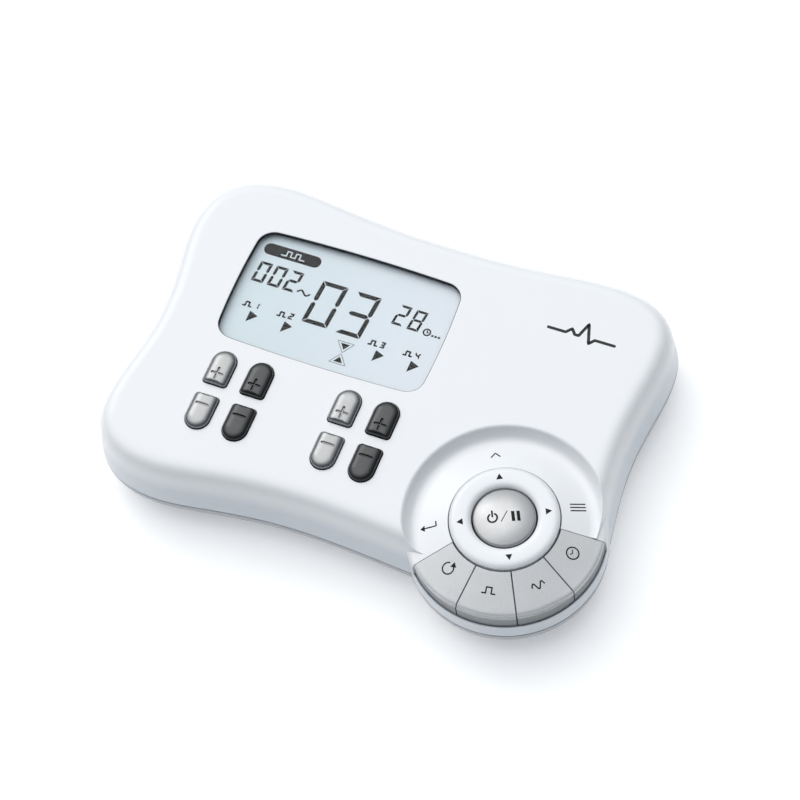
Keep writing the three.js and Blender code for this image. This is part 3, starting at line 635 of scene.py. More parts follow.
def panel_mat():
    """Pale reflective display background with fine grain and a slow tone change from one corner to the other."""
    m, nt, b, tc = mat_new("display_panel_grey")
    sx = nt.nodes.new("ShaderNodeSeparateXYZ")
    nt.links.new(tc.outputs["Object"], sx.inputs[0])
    mr = maprange(nt, sx.outputs[0], 0.0, 1.0, -0.060, 0.016)
    r = ramp(nt, mr.outputs[0], [(0.0, (0.665, 0.745, 0.775)), (1.0, (0.785, 0.81, 0.85))])
    n = noise(nt, tc, 2600, 3)
    r2 = ramp(nt, n.outputs[0], [(0.3, (0.965,) * 3), (0.7, (1.0,) * 3)])
    mx = nt.nodes.new("ShaderNodeMix")
    mx.data_type, mx.blend_type = "RGBA", "MULTIPLY"
    mx.inputs[0].default_value = 1.0
    nt.links.new(r.outputs[0], mx.inputs[6])
    nt.links.new(r2.outputs[0], mx.inputs[7])
    nt.links.new(mx.outputs[2], b.inputs["Base Color"])
    mr2 = maprange(nt, n.outputs[0], 0.4, 0.55)
    nt.links.new(mr2.outputs[0], b.inputs["Roughness"])
    b.inputs["Specular IOR Level"].default_value = 0.25
    return m


M["panel"] = panel_mat()


def window_mat():
    """Clear acrylic: light passes straight through, with a weak gloss that grows at low angles."""
    m = bpy.data.materials.new("clear_acrylic")
    m.use_nodes = True
    nt = m.node_tree
    nt.nodes.clear()
    out = nt.nodes.new("ShaderNodeOutputMaterial")
    mix = nt.nodes.new("ShaderNodeMixShader")
    tr = nt.nodes.new("ShaderNodeBsdfTransparent")
    gl = nt.nodes.new("ShaderNodeBsdfGlossy")
    # Facing, not Fresnel: Fresnel turns into total reflection at the plate's
    # inner face and blacks the display out at low angles
    lw = nt.nodes.new("ShaderNodeLayerWeight")
    lw.inputs["Blend"].default_value = 0.04
    tc = nt.nodes.new("ShaderNodeTexCoord")
    n = noise(nt, tc, 700, 3)
    mr = maprange(nt, n.outputs[0], 0.03, 0.08)
    nt.links.new(mr.outputs[0], gl.inputs["Roughness"])
    tr.inputs["Color"].default_value = (0.985, 0.992, 0.995, 1)
    nt.links.new(lw.outputs["Facing"], mix.inputs[0])
    nt.links.new(tr.outputs[0], mix.inputs[1])
    nt.links.new(gl.outputs[0], mix.inputs[2])
    nt.links.new(mix.outputs[0], out.inputs[0])
    return m


M["window"] = window_mat()


def plain(node, mat):
    """Keeps a CAD node and gives it a procedural material."""
    o = NODES[node]
    o.data.materials.clear()
    o.data.materials.append(mat)


# ------------------------------------------------------------------ upper shell
def wall_d(z):
    return (z - PART) * DRAFT


shoulder = bezier((wall_d(24.0), 24.0), (wall_d(24.0) + 4.6 * 0.1478, 24.0 + 4.6 * 0.989), (3.8, TOP), (8.4, TOP), 26)
lv = [(0.40, 13.3), (0.20, 13.34), (0.07, 13.45), (wall_d(13.7), 13.7)]
lv += [(wall_d(z), z) for z in np.linspace(14.4, 23.2, 9)] + [tuple(p) for p in shoulder]
top = stack(lv, name="upper_shell")

# the deck sinks below the top as a cone, with a round valley about it
cove = [(0, cone(16)), (16, cone(16)), (22, cone(22)), (25.5, cone(25.5))]
cove += bezier((25.5, cone(25.5)), (28.2, cone(28.2)), (29.7, 27.7), (30.8, 30.0), 16)[1:]
cove += bezier((30.8, 30.0), (31.1, 30.63), (31.4, 31.0), (32.3, 31.012), 10)[1:]
cove += [(32.4, 31.1), (32.5, TOP + 4), (0, TOP + 4)]
cut(top, revolve(cove, 288, *DIAL))
col = [(0, 13.3), (31.25, 13.3), (31.46, 13.35), (31.56, 13.48), (31.59, 13.8)]
col += [(31.59 - 0.19 * (z - 13.8) / 5.5, z) for z in (15.5, 17.5, 19.3)] + [(31.33, 22.0), (31.27, 24.3)]
col += bezier((31.27, 24.3), (31.22, 25.3), (30.9, cone(30.9)), (29.9, cone(29.9)), 10)[1:] + [(24.0, cone(24.0)), (16, cone(16)), (0, cone(16))]
join(top, revolve(col, 288, *DIAL))

cav = [(WALL, PART - 2), (WALL + wall_d(25.2), 25.2)]
cav += [(WALL + wall_d(25.2) + 3.4 * (1 - math.cos(a)), 25.2 + 3.4 * math.sin(a)) for a in np.linspace(0.3, math.pi / 2, 5)]
cavity = stack(cav, 4)
key_block = join(prism(sector_line(HOLE_R - 1, 31.0, KEY_A0 - 5, KEY_A1 + 5), SHELF - 2, TOP + 0.4),
                 prism(sector_line(26.4, 33.0, KEY_A0 - 5, KEY_A1 + 5), PART - 3, TOP + 0.4))
dial_cav = revolve([(0, PART - 2), (29.2, PART - 2), (28.6, 23.4), (28.0, cone(28) - 2.3), (16, cone(16) - 2.3), (0, cone(16) - 2.3)], 96, *DIAL)


def clone(o):
    c = o.copy()
    c.data = o.data.copy()
    bpy.context.scene.collection.objects.link(c)
    return c


def sweep_sector(profile, a0, a1, seg=72):
    """Closed profile in (radius, height) carried round the dial axis between two angles."""
    p = np.array(profile, float)
    rings = []
    for a in np.radians(np.linspace(a0, a1, seg + 1)):
        rings.append(np.column_stack([DIAL[0] + p[:, 0] * math.cos(a), DIAL[1] + p[:, 0] * math.sin(a), p[:, 1]]))
    return loft(rings)


skin = revolve([(0, cone(16) - 2.3), (16, cone(16) - 2.3), (28, cone(28) - 2.3), (31, 24.0), (33.6, 26.6), (33.6, TOP + 4), (0, TOP + 4)], 96, *DIAL)
cut(cavity, clone(key_block), skin)
cut(dial_cav, key_block)
cut(top, cavity, dial_cav)
# wells of the curved keys, the ring hole with a rounded lip
cut(top, prism(sector_line(HOLE_R - 1, 28.4, KEY_A0, KEY_A1), SHELF, TOP + 4),
    sweep_sector([(28.35, 18.2), (30.95, 18.2), (30.95, TOP + 4), (28.35, TOP + 4)], KEY_A0, KEY_A1),
    sweep_sector([(30.9, 19.0), (30.955, 19.14), (31.03, 19.26), (31.13, 19.31), (31.25, 19.29), (31.34, 19.2), (31.39, 19.05), (31.44, 18.85),
                  (33, 18.8), (36, 18.8), (36, TOP + 4), (30.9, TOP + 4)], KEY_A0, KEY_A1))
hz = cone(HOLE_R)
cut(top, revolve([(0, PART - 3), (HOLE_R - 0.1, PART - 3), (HOLE_R - 0.1, hz - 0.28), (HOLE_R - 0.06, hz - 0.15),
                  (HOLE_R + 0.03, hz - 0.06), (HOLE_R + 0.16, hz - 0.02), (HOLE_R + 0.3, cone(HOLE_R + 0.3) + 0.01), (HOLE_R + 0.32, TOP + 4), (0, TOP + 4)],
                 192, *DIAL))
for i in range(4):
    cut(top, rod(2.3, SHELF - 4, SHELF + 1, *polar(PLUNGE_R, KEY_A0 + KEY_SPAN * (i + 0.5)), 24))
# display opening with its rebate, key holes
cut(top, flare_cut(window_line(0), 24, TOP, 0.16), prism(window_line(1.8, 6), 24, 29.4))
for x in CH_X:
    cut(top, flare_cut(key_line(x, PLUS_Y, 1, 0.28, 24, 1.3), 24, TOP, 0.22),
        flare_cut(key_line(x, MINUS_Y, -1, 0.28, 24, 1.3), 24, TOP, 0.22))
for x, y in SCREWS:
    join(top, rod(3.6, 13.3, CEIL + 0.6, x, y, 24))
    cut(top, rod(1.5, PART - 1, 23.5, x, y, 16))


def rear_y(x):
    a, b = OUT_P, np.roll(OUT_P, -1, 0)
    hit = (a[:, 1] > 40) & (b[:, 1] > 40) & ((a[:, 0] - x) * (b[:, 0] - x) <= 0) & (a[:, 0] != b[:, 0])
    k = np.nonzero(hit)[0][0]
    t = (x - a[k, 0]) / (b[k, 0] - a[k, 0])
    return a[k, 1] + t * (b[k, 1] - a[k, 1])


for i, x in enumerate(SOCKET_X):
    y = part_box(f"output_socket_{i + 1}")[1].y * 1000 + 0.9
    notch = rrect(x, 15.4, 11.6, 10.0, 1.0, 5, 0)
    ring = lambda yy: np.column_stack([notch[:, 0], np.full(len(notch), yy), notch[:, 1]])
    cut(top, loft([ring(y - 12), ring(y + 6)]))
final(top, "upper_shell", "root", M["shell"], ["top_housing"], "white_shell")

# ------------------------------------------------------------------ lower shell
under = smooth_line([(0, 12.95), (0.45, 9.6), (2.0, 6.2), (5.2, 3.3), (8.4, 1.8), (12.0, BASE)], 6)[::-1]
under = under[:-1] + [(0.02, 12.7), (0.14, 12.88), (0.30, 12.95)]
under_in = [(12.0, FLOOR), (6.0, 5.8), (3.9, 9.4), (3.9, PART + 4)]


def dial_rev(levels, seg):
    return revolve([(0, levels[0][1])] + [(COL_R - d, z) for d, z in levels] + [(0, levels[-1][1])], seg, *DIAL)


low = join(stack(under, name="lower_shell"), dial_rev(under, 288))
cut(low, join(stack(under_in, 4), dial_rev(under_in, 96)))
tongue = join(stack([(3.0, PART - 0.8), (3.0, PART + 1.6)], 2), rod(28.7, PART - 0.8, PART + 1.6, *DIAL, 96))
cut(tongue, join(stack([(3.9, PART - 2), (3.9, PART + 3)], 2), rod(27.8, PART - 2, PART + 3, *DIAL, 96)))
cut(tongue, prism(sector_line(20, 34, KEY_A0 - 8, KEY_A1 + 8), PART - 0.05, PART + 4))
for x in SOCKET_X:
    cut(tongue, box(x - 7, x + 7, 40, 66, PART - 0.05, PART + 4))
join(low, tongue)
join(low, box(TUB["x0"] - 1.6, TUB["x1"] + 1.6, TUB["y0"] - 1.6, TUB["y1"] + 1.6, FLOOR - 1, TUB["roof"] + 1.4, 1.5),
     box(-73.0, TUB["x0"], TUB["y0"] - 1.6, TUB["y1"] + 1.6, FLOOR - 0.6, 5.6))
cut(low, box(TUB["x0"], TUB["x1"], TUB["y0"], TUB["y1"], 2.0, TUB["roof"], 0.6),
    box(-90, TUB["x1"], TUB["y0"], TUB["y1"], 2.0, 3.6),
    box(-90, TUB["x1"], TUB["y0"] + 1.5, TUB["y1"] - 1.5, 0, 2.1))
for a, b in zip(CELL_Y, CELL_Y[1:]):
    join(low, box(-50, -24, (a + b) / 2 - 0.3, (a + b) / 2 + 0.3, TUB["roof"] - 2.6, TUB["roof"] + 0.4))
for x, y in SCREWS:
    join(low, rod(4.9, FLOOR - 1, PART - 0.05, x, y, 32))
for x, y in SCREWS:
    cut(low, revolve([(0, BASE - 2), (4.0, BASE - 2), (3.95, BASE - 0.002), (3.62, BASE + 0.04), (3.38, BASE + 0.18),
                      (3.3, BASE + 0.45), (3.3, 7.0), (0, 7.0)], 48, x, y), rod(1.7, 6.5, PART + 1, x, y, 24))
for x, y in [(-58, 30), (0, 44), (58, 12), (10, -20)]:
    join(low, rod(2.4, FLOOR - 1, 20.2, x, y, 20))
for a in (60, 165, 280):
    join(low, rod(2.2, FLOOR - 1, 14.7, *polar(21, a), 20))
for x, y in FEET:
    cut(low, rod(5.3, BASE - 1, 2.0, x, y, 64))
# its grey material is painted shade that darkens the undercut
final(low, "lower_shell", "root", M["lower"], ["bottom_housing"], "lower_shell")

# ------------------------------------------------------------------ battery door
door = join(box(-90, TUB["x1"] - 0.35, TUB["y0"] + 0.3, TUB["y1"] - 0.3, 2.35, 3.3),
            prism(rrect((-90 + TUB["x1"] - 0.35) / 2, (TUB["y0"] + TUB["y1"]) / 2, 90 + TUB["x1"] - 0.35,
                        TUB["y1"] - TUB["y0"] - 3.6, 0.5, 4, 0), BASE, 2.6, rb=0.25))
common(door, stack(under))
for i in range(5):
    cx = -65.4 + i * 2.4
    groove = [(-11, -12.0 + 11), (-11, 10.0)]
    line = rrect(cx, -1.0, 1.25, 22.0, 0.62, 8, 0)
    rings = [lift(offset(line, g), z) for g, z in ((-0.55, BASE + 0.55), (-0.30, BASE + 0.48), (-0.08, BASE + 0.25), (0.06, BASE - 0.002), (0.1, BASE - 1))]
    cut(door, loft(rings))
# a small triangular thumb mark points the way the door slides
tri = np.array([[-73.6, -1.0], [-71.2, -3.0], [-71.2, 1.0]])
cut(door, loft([lift(offset(dense(tri, 0.5), g), z) for g, z in ((-0.25, BASE + 0.35), (0.0, BASE + 0.12), (0.05, BASE - 1))]))
# the cover shares the lower shell's grey, which is painted shade
final(door, "battery_cover", "battery_door", M["lower"], ["battery_door"], "lower_shell")

# ------------------------------------------------------------------ feet, screws
for i, (x, y) in enumerate(FEET):
    prof = [(0, 0.12), (2.6, 0.12), (2.9, 0.0), (4.3, 0.0)] + bezier((4.3, 0.0), (4.75, 0.0), (5.0, 0.25), (5.0, 0.6), 7)[1:]
    prof += [(5.0, 1.95), (4.9, 2.0), (0, 2.0)]
    final(revolve(prof, 72, x, y), f"foot_pad_{i + 1}", "root", M["foot"], [f"foot_{i + 1}"], "foot_rubber")
for i, (x, y) in enumerate(SCREWS):
    prof = [(0, 4.35)] + bezier((0.3, 4.35), (1.6, 4.38), (2.7, 4.6), (2.9, 5.3), 8) + [(2.9, 6.5), (2.8, 6.6), (1.45, 6.6)]
    z = 7.0
    while z < 21.0:
        prof += [(1.45, z), (1.15, z + 0.35), (1.15, z + 0.5), (1.45, z + 0.85)]
        z += 1.0
    prof += [(1.2, 21.6), (0.3, 23.0), (0, 23.0)]
    s = revolve(prof, 40, x, y)
    for w, h in ((3.7, 0.72), (0.72, 3.7)):
        line = rrect(x, y, w, h, 0.18, 3, 0)
        cut(s, loft([lift(offset(line, g), z) for g, z in ((0.08, 3.9), (0.04, 4.6), (-0.08, 5.9))]))
    final(s, f"case_screw_{i + 1}", "root", M["screw"], [f"housing_screw_{i + 1}"], "screw_steel", 30)

# ------------------------------------------------------------------ display
win = join(prism(window_line(-0.34), 28.95, 30.34, rt=0.15, seg=4), prism(window_line(1.5, 8), 28.55, 29.25))
final(win, "window_plate", "root", M["window"], ["display_window"], "clear_window")
# A thin dark ring lines the opening: partly a dark seam at the window edge, partly painted shade for the shaded gap and
# wall behind it
gasket = cut(prism(window_line(-0.004), 29.36, 30.80, rt=0.05, seg=3), prism(window_line(-0.15), 29, 31))
final(gasket, "window_gasket", "root", M["gasket"], slot="inner_plastic")
gx, gy = WIN["x"], WIN["y"]
final(prism(rrect(gx, gy, 74.6, 44.4, 0.6, 4, 2.0), 25.55, LCD_Z, 0.15, 0.15), "display_panel", "root", M["panel"], ["lcd_glass"], "lcd_panel")


def slab(poly, z0, z1, to=None):
    """Thin closed plate on a polygon (any simple convex or star-shaped one), with its face divided finely."""
    p = dense(np.array(poly, float), 0.35)
    if signed2(p) < 0:
        p = p[::-1]
    c = p.mean(0)
    v, f = [], []
    n = len(p)
    rings = (1.0, 0.66, 0.33)
    for z in (z0, z1):
        for s in rings:
            v += [(*(c + (q - c) * s), z) for q in p]
        v.append((*c, z))
    m = n * len(rings) + 1
    for side in (0, 1):
        o = side * m
        for l in range(len(rings) - 1):
            for k in range(n):
                q = (o + l * n + k, o + l * n + (k + 1) % n, o + (l + 1) * n + (k + 1) % n, o + (l + 1) * n + k)
                f.append(q if side else q[::-1])
        for k in range(n):
            q = (o + (len(rings) - 1) * n + k, o + (len(rings) - 1) * n + (k + 1) % n, o + m - 1)
            f.append(q if side else q[::-1])
    for k in range(n):
        f.append((k, (k + 1) % n, m + (k + 1) % n, m + k))
    v = np.array(v, float)
    if to:
        v = to(v)
    return make(v, f, "slab")


def signed2(p):
    q = np.roll(p, -1, 0)
    return 0.5 * (p[:, 0] * q[:, 1] - q[:, 0] * p[:, 1]).sum()


def stroke(path, w, z0, z1, closed=False, to=None):
    """Thin closed plate along a path of width w, ends rounded."""
    p = np.array(path, float)
    if not closed:
        out = [p[0]]
        for a, b in zip(p, p[1:]):
            n = max(1, int(math.ceil(np.linalg.norm(b - a) / 0.35)))
            out += [a + (b - a) * k / n for k in range(1, n + 1)]
        p = np.array(out)
        t = np.gradient(p, axis=0)
    else:
        p = dense(p, 0.35)
        t = np.roll(p, -1, 0) - np.roll(p, 1, 0)
    t /= np.linalg.norm(t, axis=1)[:, None]
    nrm = np.stack([-t[:, 1], t[:, 0]], 1)
    wid = np.full(len(p), w / 2.0)
    if not closed:
        ext = []
        for k, s in ((0.5, 0.5), (0.866, 0.866)):
            ext.append((k, s))
        head = [p[0] - t[0] * w / 2 * math.sin(a) for a in (1.4, 1.05, 0.6)]
        tail = [p[-1] + t[-1] * w / 2 * math.sin(a) for a in (0.6, 1.05, 1.4)]
        hw = [w / 2 * math.cos(a) for a in (1.4, 1.05, 0.6)]
        p = np.vstack([head, p, tail])
        nrm = np.vstack([[nrm[0]] * 3, nrm, [nrm[-1]] * 3])
        wid = np.concatenate([hw, wid, hw[::-1]])
    left, right = p + nrm * wid[:, None], p - nrm * wid[:, None]
    n = len(p)
    v = np.vstack([lift(left, z0), lift(right, z0), lift(left, z1), lift(right, z1)])
    f = []
    for k in range(n if closed else n - 1):
        k2 = (k + 1) % n
        f += [(2 * n + k, 3 * n + k, 3 * n + k2, 2 * n + k2), (k, k2, n + k2, n + k),
              (k, 2 * n + k, 2 * n + k2, k2), (n + k, n + k2, 3 * n + k2, 3 * n + k)]
    if not closed:
        f += [(0, n, 3 * n, 2 * n), (n - 1, 3 * n - 1, 4 * n - 1, 2 * n - 1)]
    if to:
        v = to(v)
    return make(v, f, "stroke")


SEG_MAP = {"0": "abcdef", "1": "bc", "2": "abged", "3": "abgcd", "4": "fgbc", "8": "abcdefg"}


def digit(ch, x, y, w, h, slant, t, z0, z1, gap=0.12):
    """Seven-segment digit: bottom left corner, width, height, lean at the top, stroke."""
    def at(u, v):
        return (x + u + slant * v / h, y + v)
    g, k = gap, t / 2
    ym = h / 2
    shapes = {
        "a": [(g, h), (w - g, h), (w - t - g, h - t), (t + g, h - t)],
        "d": [(g, 0), (t + g, t), (w - t - g, t), (w - g, 0)],
        "g": [(k + g, ym), (t + g, ym + k), (w - t - g, ym + k), (w - k - g, ym), (w - t - g, ym - k), (t + g, ym - k)],
        "f": [(0, h - g), (t, h - t - g), (t, ym + k + g), (k, ym + g), (0, ym + k + g)],
        "e": [(0, g), (0, ym - k - g), (k, ym - g), (t, ym - k - g), (t, t + g)],
        "b": [(w, h - g), (w, ym + k + g), (w - k, ym + g), (w - t, ym + k + g), (w - t, h - t - g)],
        "c": [(w, g), (w - t, t + g), (w - t, ym - k - g), (w - k, ym - g), (w, ym - k - g)],
    }
    return [slab([at(*q) for q in shapes[s]], z0, z1) for s in SEG_MAP[ch]]


Z0, Z1 = LCD_Z - 0.06, LCD_Z + 0.03
ink = []
for ch, x in zip("002", (-55.1, -49.45, -43.95)):
    ink += digit(ch, x, 22.75, 4.25, 7.85, 0.65, 0.98, Z0, Z1, 0.10)
ink += digit("0", -33.2, 13.85, 8.95, 16.3, 1.15, 1.5, Z0, Z1, 0.16)
ink += digit("3", -21.25, 13.65, 8.6, 16.3, 1.25, 1.5, Z0, Z1, 0.16)
ink += digit("2", -5.35, 22.35, 3.85, 7.6, 0.85, 0.85, Z0, Z1, 0.08)
ink += digit("8", 0.1, 22.1, 3.95, 7.65, 0.95, 0.85, Z0, Z1, 0.08)
# pill with a light pulse sign cut through it
pill = loft([lift(rrect(-45.55, 35.75, 20.2, 4.3, 2.15, 12, 0.5), z) for z in (Z0, Z1)])
pulse = [(-49.2, 34.85), (-47.5, 34.85), (-47.5, 36.65), (-46.0, 36.65), (-46.0, 34.85), (-44.4, 34.85), (-44.4, 36.65), (-42.9, 36.65), (-42.9, 34.85), (-41.2, 34.85)]
for a, b in zip(pulse, pulse[1:]):
    w = 0.21
    line = rrect((a[0] + b[0]) / 2, (a[1] + b[1]) / 2, abs(a[0] - b[0]) + 2 * w, abs(a[1] - b[1]) + 2 * w, 0.02, 1, 0)
    cut(pill, prism(line, Z0 - 1, Z1 + 1))
ink.append(pill)
# unit signs: a sine wave after the rate, a small dial after the time
sine = [(-38.6 + 4.2 * t, 23.7 + 0.75 * math.sin(TAU * t)) for t in np.linspace(0, 1, 25)]
ink.append(stroke(sine, 0.62, Z0, Z1))
ink.append(stroke(circle(7.0, 23.0, 1.15, 24), 0.50, Z0, Z1, True))
ink += [stroke([(7.0, 23.7), (7.0, 22.95)], 0.36, Z0, Z1), stroke([(7.0, 22.95), (7.55, 22.95)], 0.36, Z0, Z1)]
ink += [slab(circle(9.15 + 1.1 * k, 22.3, 0.42, 12), Z0, Z1) for k in range(3)]
# channel numbers with their arrowheads
for k, (x, y) in enumerate([(-50.42, 12.03), (-38.17, 12.01), (-6.01, 11.74), (6.0, 11.73)]):
    ink.append(slab([(x, y), (x, y - 4.2), (x + 3.15, y - 1.2)], Z0, Z1))
    sq = [(x - 3.3, y + 1.35), (x - 2.5, y + 1.35), (x - 2.5, y + 2.85), (x - 1.3, y + 2.85), (x - 1.3, y + 1.35), (x - 0.5, y + 1.35)]
    ink += [stroke([q0, q1], 0.56, Z0, Z1) for q0, q1 in zip(sq, sq[1:])]
    ink += digit("1234"[k], x + 0.35, y + 1.15, 1.7, 2.3, 0.15, 0.58, Z0, Z1, 0.0)
# hourglass: two dark triangles inside thin outlines
for tri in ([(-19.0, 11.2), (-16.05, 7.3), (-13.3, 11.2)], [(-16.1, 6.85), (-18.9, 3.1), (-13.3, 3.1)]):
    c = np.mean(tri, 0)
    ink.append(slab([tuple(c + (np.array(q) - c) * 0.56) for q in tri], Z0, Z1))
    ink.append(stroke(np.array(tri), 0.16, Z0, Z1, True))
final(merge(ink, "display_segments"), "display_segments", "root", M["seg"], slot="lcd_panel", angle=30)

# ------------------------------------------------------------------ channel keys
def channel_cap(x, flat, d, name, mat, slot):
    line = key_line(x, flat, d, 0.0)
    m0, m1 = sorted((flat + d * 1.5, flat + d * (CH_LEN - CH_W / 2)))
    med = np.stack([np.full(len(line), x), np.clip(line[:, 1], m0, m1)], 1)
    fl = key_line(x, flat, d, 0.8)
    rings = [lift(offset(line, 0.8), 27.2), lift(offset(line, 0.8), 28.2), lift(line, 28.25)]
    rings += [lift(line, z) for z in (29.2, 30.2, 31.0, 31.35)]
    edge, crown = 31.55, 33.15
    for s in np.concatenate([np.linspace(0, 0.12, 7), np.linspace(0.16, 0.5, 9), np.linspace(0.58, 0.985, 7)]):
        h = (1 - (1 - s) ** 2.3) ** 0.5
        z = edge + (crown - edge) * h
        rings.append(lift(line + (med - line) * s, z))
    cap = loft(rings, name)
    cy = flat + d * (CH_LEN - CH_W / 2) / 2
    join(cap, rod(1.9, 25.3, 27.5, x, flat + d * CH_LEN / 2, 24))
    # engraved sign
    sy = flat + d * (3.35 if d > 0 else 4.05)
    arm = 2.15 if d > 0 else 2.3
    bars = [(2 * arm, 0.72)] + ([(0.72, 2 * arm)] if d > 0 else [])
    cutter = None
    for w, h in bars:
        ln = rrect(x, sy, w, h, 0.34, 4, 0)
        b = loft([lift(offset(ln, g), z) for g, z in ((-0.28, 32.50), (-0.18, 32.56), (-0.08, 32.68), (0.02, 32.86), (0.10, 33.05), (0.12, 34))])
        cutter = b if cutter is None else join(cutter, b)
    cut(cap, cutter)
    final(cap, name, f"{name[:-4]}_key", mat, [f"{name[:-4]}_key"], slot, 32)


for i, x in enumerate(CH_X):
    mt, sl = (M["silver"], "silver_key") if i % 2 == 0 else (M["dark"], "dark_key")
    channel_cap(x, PLUS_Y, 1, f"ch{i + 1}_plus_cap", mt, sl)
    channel_cap(x, MINUS_Y, -1, f"ch{i + 1}_minus_cap", mt, sl)

# ------------------------------------------------------------------ round cluster
RC, RA = 13.58, 3.42


def ring_z(r):
    u = np.clip(np.abs((r - RC) / RA), 0, 1)
    return 30.15 + 1.5 * (1 - u ** 3.0) ** 0.55


prof = [(RC + RA, 25.3), (RC + RA, 27.5), (RC + RA, 29.4)]
for u in list(np.cos(np.linspace(0, math.pi, 60))):
    r = RC + RA * u
    prof.append((r, float(ring_z(r))))
prof += [(RC - RA, 29.4), (RC - RA, 27.5), (RC - RA, 25.3), (11.4, 25.3), (11.4, 28.6), (15.6, 28.6), (15.6, 25.3)]
final(revolve(prof, 240, *DIAL, closed=True), "rocker_ring", "nav_ring", M["ring"], ["nav_ring"], "white_ring", 32)

U = np.array([math.cos(math.radians(27)), math.sin(math.radians(27))])
V = np.array([-U[1], U[0]])


def on_ring(v):
    r = np.hypot(v[:, 0], v[:, 1])
    z = ring_z(r) + v[:, 2]
    xy = DIAL + v[:, :1] * U + v[:, 1:2] * V
    return np.column_stack([xy, z])


arrows = []
for k in range(4):
    c, s = [(1, 0), (0, 1), (-1, 0), (0, -1)][k]
    pts = [(14.62, 0), (12.68, 1.05), (12.68, -1.05)]
    arrows.append(slab([(p * c - q * s, p * s + q * c) for p, q in pts], -0.08, 0.03, on_ring))
final(merge(arrows, "ring_arrows"), "ring_arrows", "nav_ring", M["print"], slot="white_ring", angle=60)

# power button: domed cap with a small bright chamfer
BR = 9.68


def power_z(r):
    return 32.75 - 1.85 * (np.clip(r, 0, 9.1) / 9.1) ** 2.0


prof = [(0, 18.8), (2.6, 18.8), (2.6, 26.0), (BR - 0.1, 26.0), (BR, 26.1), (BR, 28.5), (BR, 30.15)]
prof += bezier((BR, 30.15), (BR, 30.55), (9.45, 30.72), (9.1, float(power_z(np.array(9.1)))), 8)[1:]
prof += [(r, float(power_z(np.array(r)))) for r in np.linspace(8.9, 0.3, 24)] + [(0, 32.75)]
final(revolve(prof, 192, *DIAL), "power_cap", "power_button", M["power"], ["power_button"], "satin_grey", 32)


def on_power(v):
    r = np.hypot(v[:, 0], v[:, 1])
    return np.column_stack([DIAL + v[:, :1] * U + v[:, 1:2] * V, power_z(r) + v[:, 2]])


sym = []
arc = [(-3.55 + 1.42 * math.cos(a), -0.42 + 1.42 * math.sin(a)) for a in np.radians(np.linspace(90 + 34, 450 - 34, 44))]
sym.append(stroke(arc, 0.56, -0.08, 0.025, False, on_power))
sym.append(stroke([(-3.55, 0.0), (-3.55, 1.85)], 0.56, -0.08, 0.03, False, on_power))
sym.append(stroke([(-1.0, -1.95), (1.1, 1.2)], 0.26, -0.08, 0.03, False, on_power))
for u in (2.7, 4.35):
    sym.append(slab([(u - 0.5, -2.3), (u + 0.5, -2.3), (u + 0.5, 1.0), (u - 0.5, 1.0)], -0.08, 0.03, on_power))
final(merge(sym, "power_symbols"), "power_symbols", "power_button", M["print"], slot="satin_grey", angle=60)

# curved keys
def curved_z(r):
    return cone(r)


ct = bezier((17.48, 29.35), (17.48, 29.72), (17.54, cone(17.6) - 0.03), (17.83, cone(17.83)), 5)
ct += [(r, cone(r)) for r in (20, 22, 24, 26, 28, 29.1)]
ct += bezier((29.1, cone(29.1)), (29.85, cone(29.85)), (30.26, 25.85), (30.30, 25.25), 9)[1:]
ct += [(30.31, 24.95), (30.33, 24.72), (30.40, 24.60), (30.50, 24.57)]
ct += bezier((30.50, 24.57), (30.66, 24.56), (30.75, 24.48), (30.75, 24.3), 5)[1:]
ct += [(30.75, 22.5), (30.75, 20.8), (30.75, 19.3), (30.70, 19.1), (30.55, 19.0), (29.3, 19.0), (29.1, 19.15), (29.05, 19.6), (28.9, 23.4), (28.2, 24.2),
       (24.0, 25.5), (20.0, 26.72), (17.8, 27.35), (17.54, 27.47), (17.48, 27.65)]
ct = np.array(ct)


def step_out(p, ang):
    """The narrow step below the top edge runs out towards both ends of the row."""
    a = np.degrees(ang)
    b = np.clip((-97 - a) / 14, 0, 1) + np.clip((a + 42) / 16, 0, 1)
    b = b * b * (3 - 2 * b)
    edge = (p[:, 0] > 29.1) & (p[:, 1] > 24.5)
    grow = np.where(edge, np.clip((p[:, 0] - 29.1) / 1.2, 0, 1) * 0.43, 0)
    grow = np.minimum(grow, np.where(edge, np.maximum(30.74 - p[:, 0], 0), 0))
    return np.column_stack([p[:, 0] + grow * b, p[:, 1]])


def curved_cap(i, name, node):
    a0, a1 = math.radians(KEY_A0 + KEY_SPAN * i), math.radians(KEY_A0 + KEY_SPAN * (i + 1))
    gap, rb = 0.17, 0.14

    def shrink(d):
        p = ct if signed2(ct) > 0 else ct[::-1]
        q = offset(p, -d)
        return q if signed2(ct) > 0 else q[::-1]

    def ring(p, ang):
        q = step_out(p, ang)
        return np.column_stack([DIAL[0] + q[:, 0] * np.cos(ang), DIAL[1] + q[:, 0] * np.sin(ang), q[:, 1]])
    secs = [(rb * (1 - math.sin(a)), gap + rb * (1 - math.cos(a))) for a in np.linspace(0, math.pi / 2, 5)]
    rings = []
    for d, o in secs:
        p = shrink(d)
        rings.append(ring(p, a0 + np.arcsin(o / p[:, 0])))
    o = gap + rb
    for t in np.linspace(0, 1, 40)[1:-1]:
        sh = np.arcsin(o / ct[:, 0])
        rings.append(ring(ct, (a0 + sh) + (a1 - a0 - 2 * sh) * t))
    for d, o in secs[::-1]:
        p = shrink(d)
        rings.append(ring(p, a1 - np.arcsin(o / p[:, 0])))
    cap = loft(rings, name)
    join(cap, rod(1.9, 18.65, 26.8, *polar(PLUNGE_R, KEY_A0 + KEY_SPAN * (i + 0.5)), 24))
    final(cap, name, node, M["curved"], [node], "satin_silver", 32)


for i, nm in enumerate(("cycle", "pulse_width", "frequency", "timer")):
    curved_cap(i, f"{nm}_cap", f"{nm}_key")


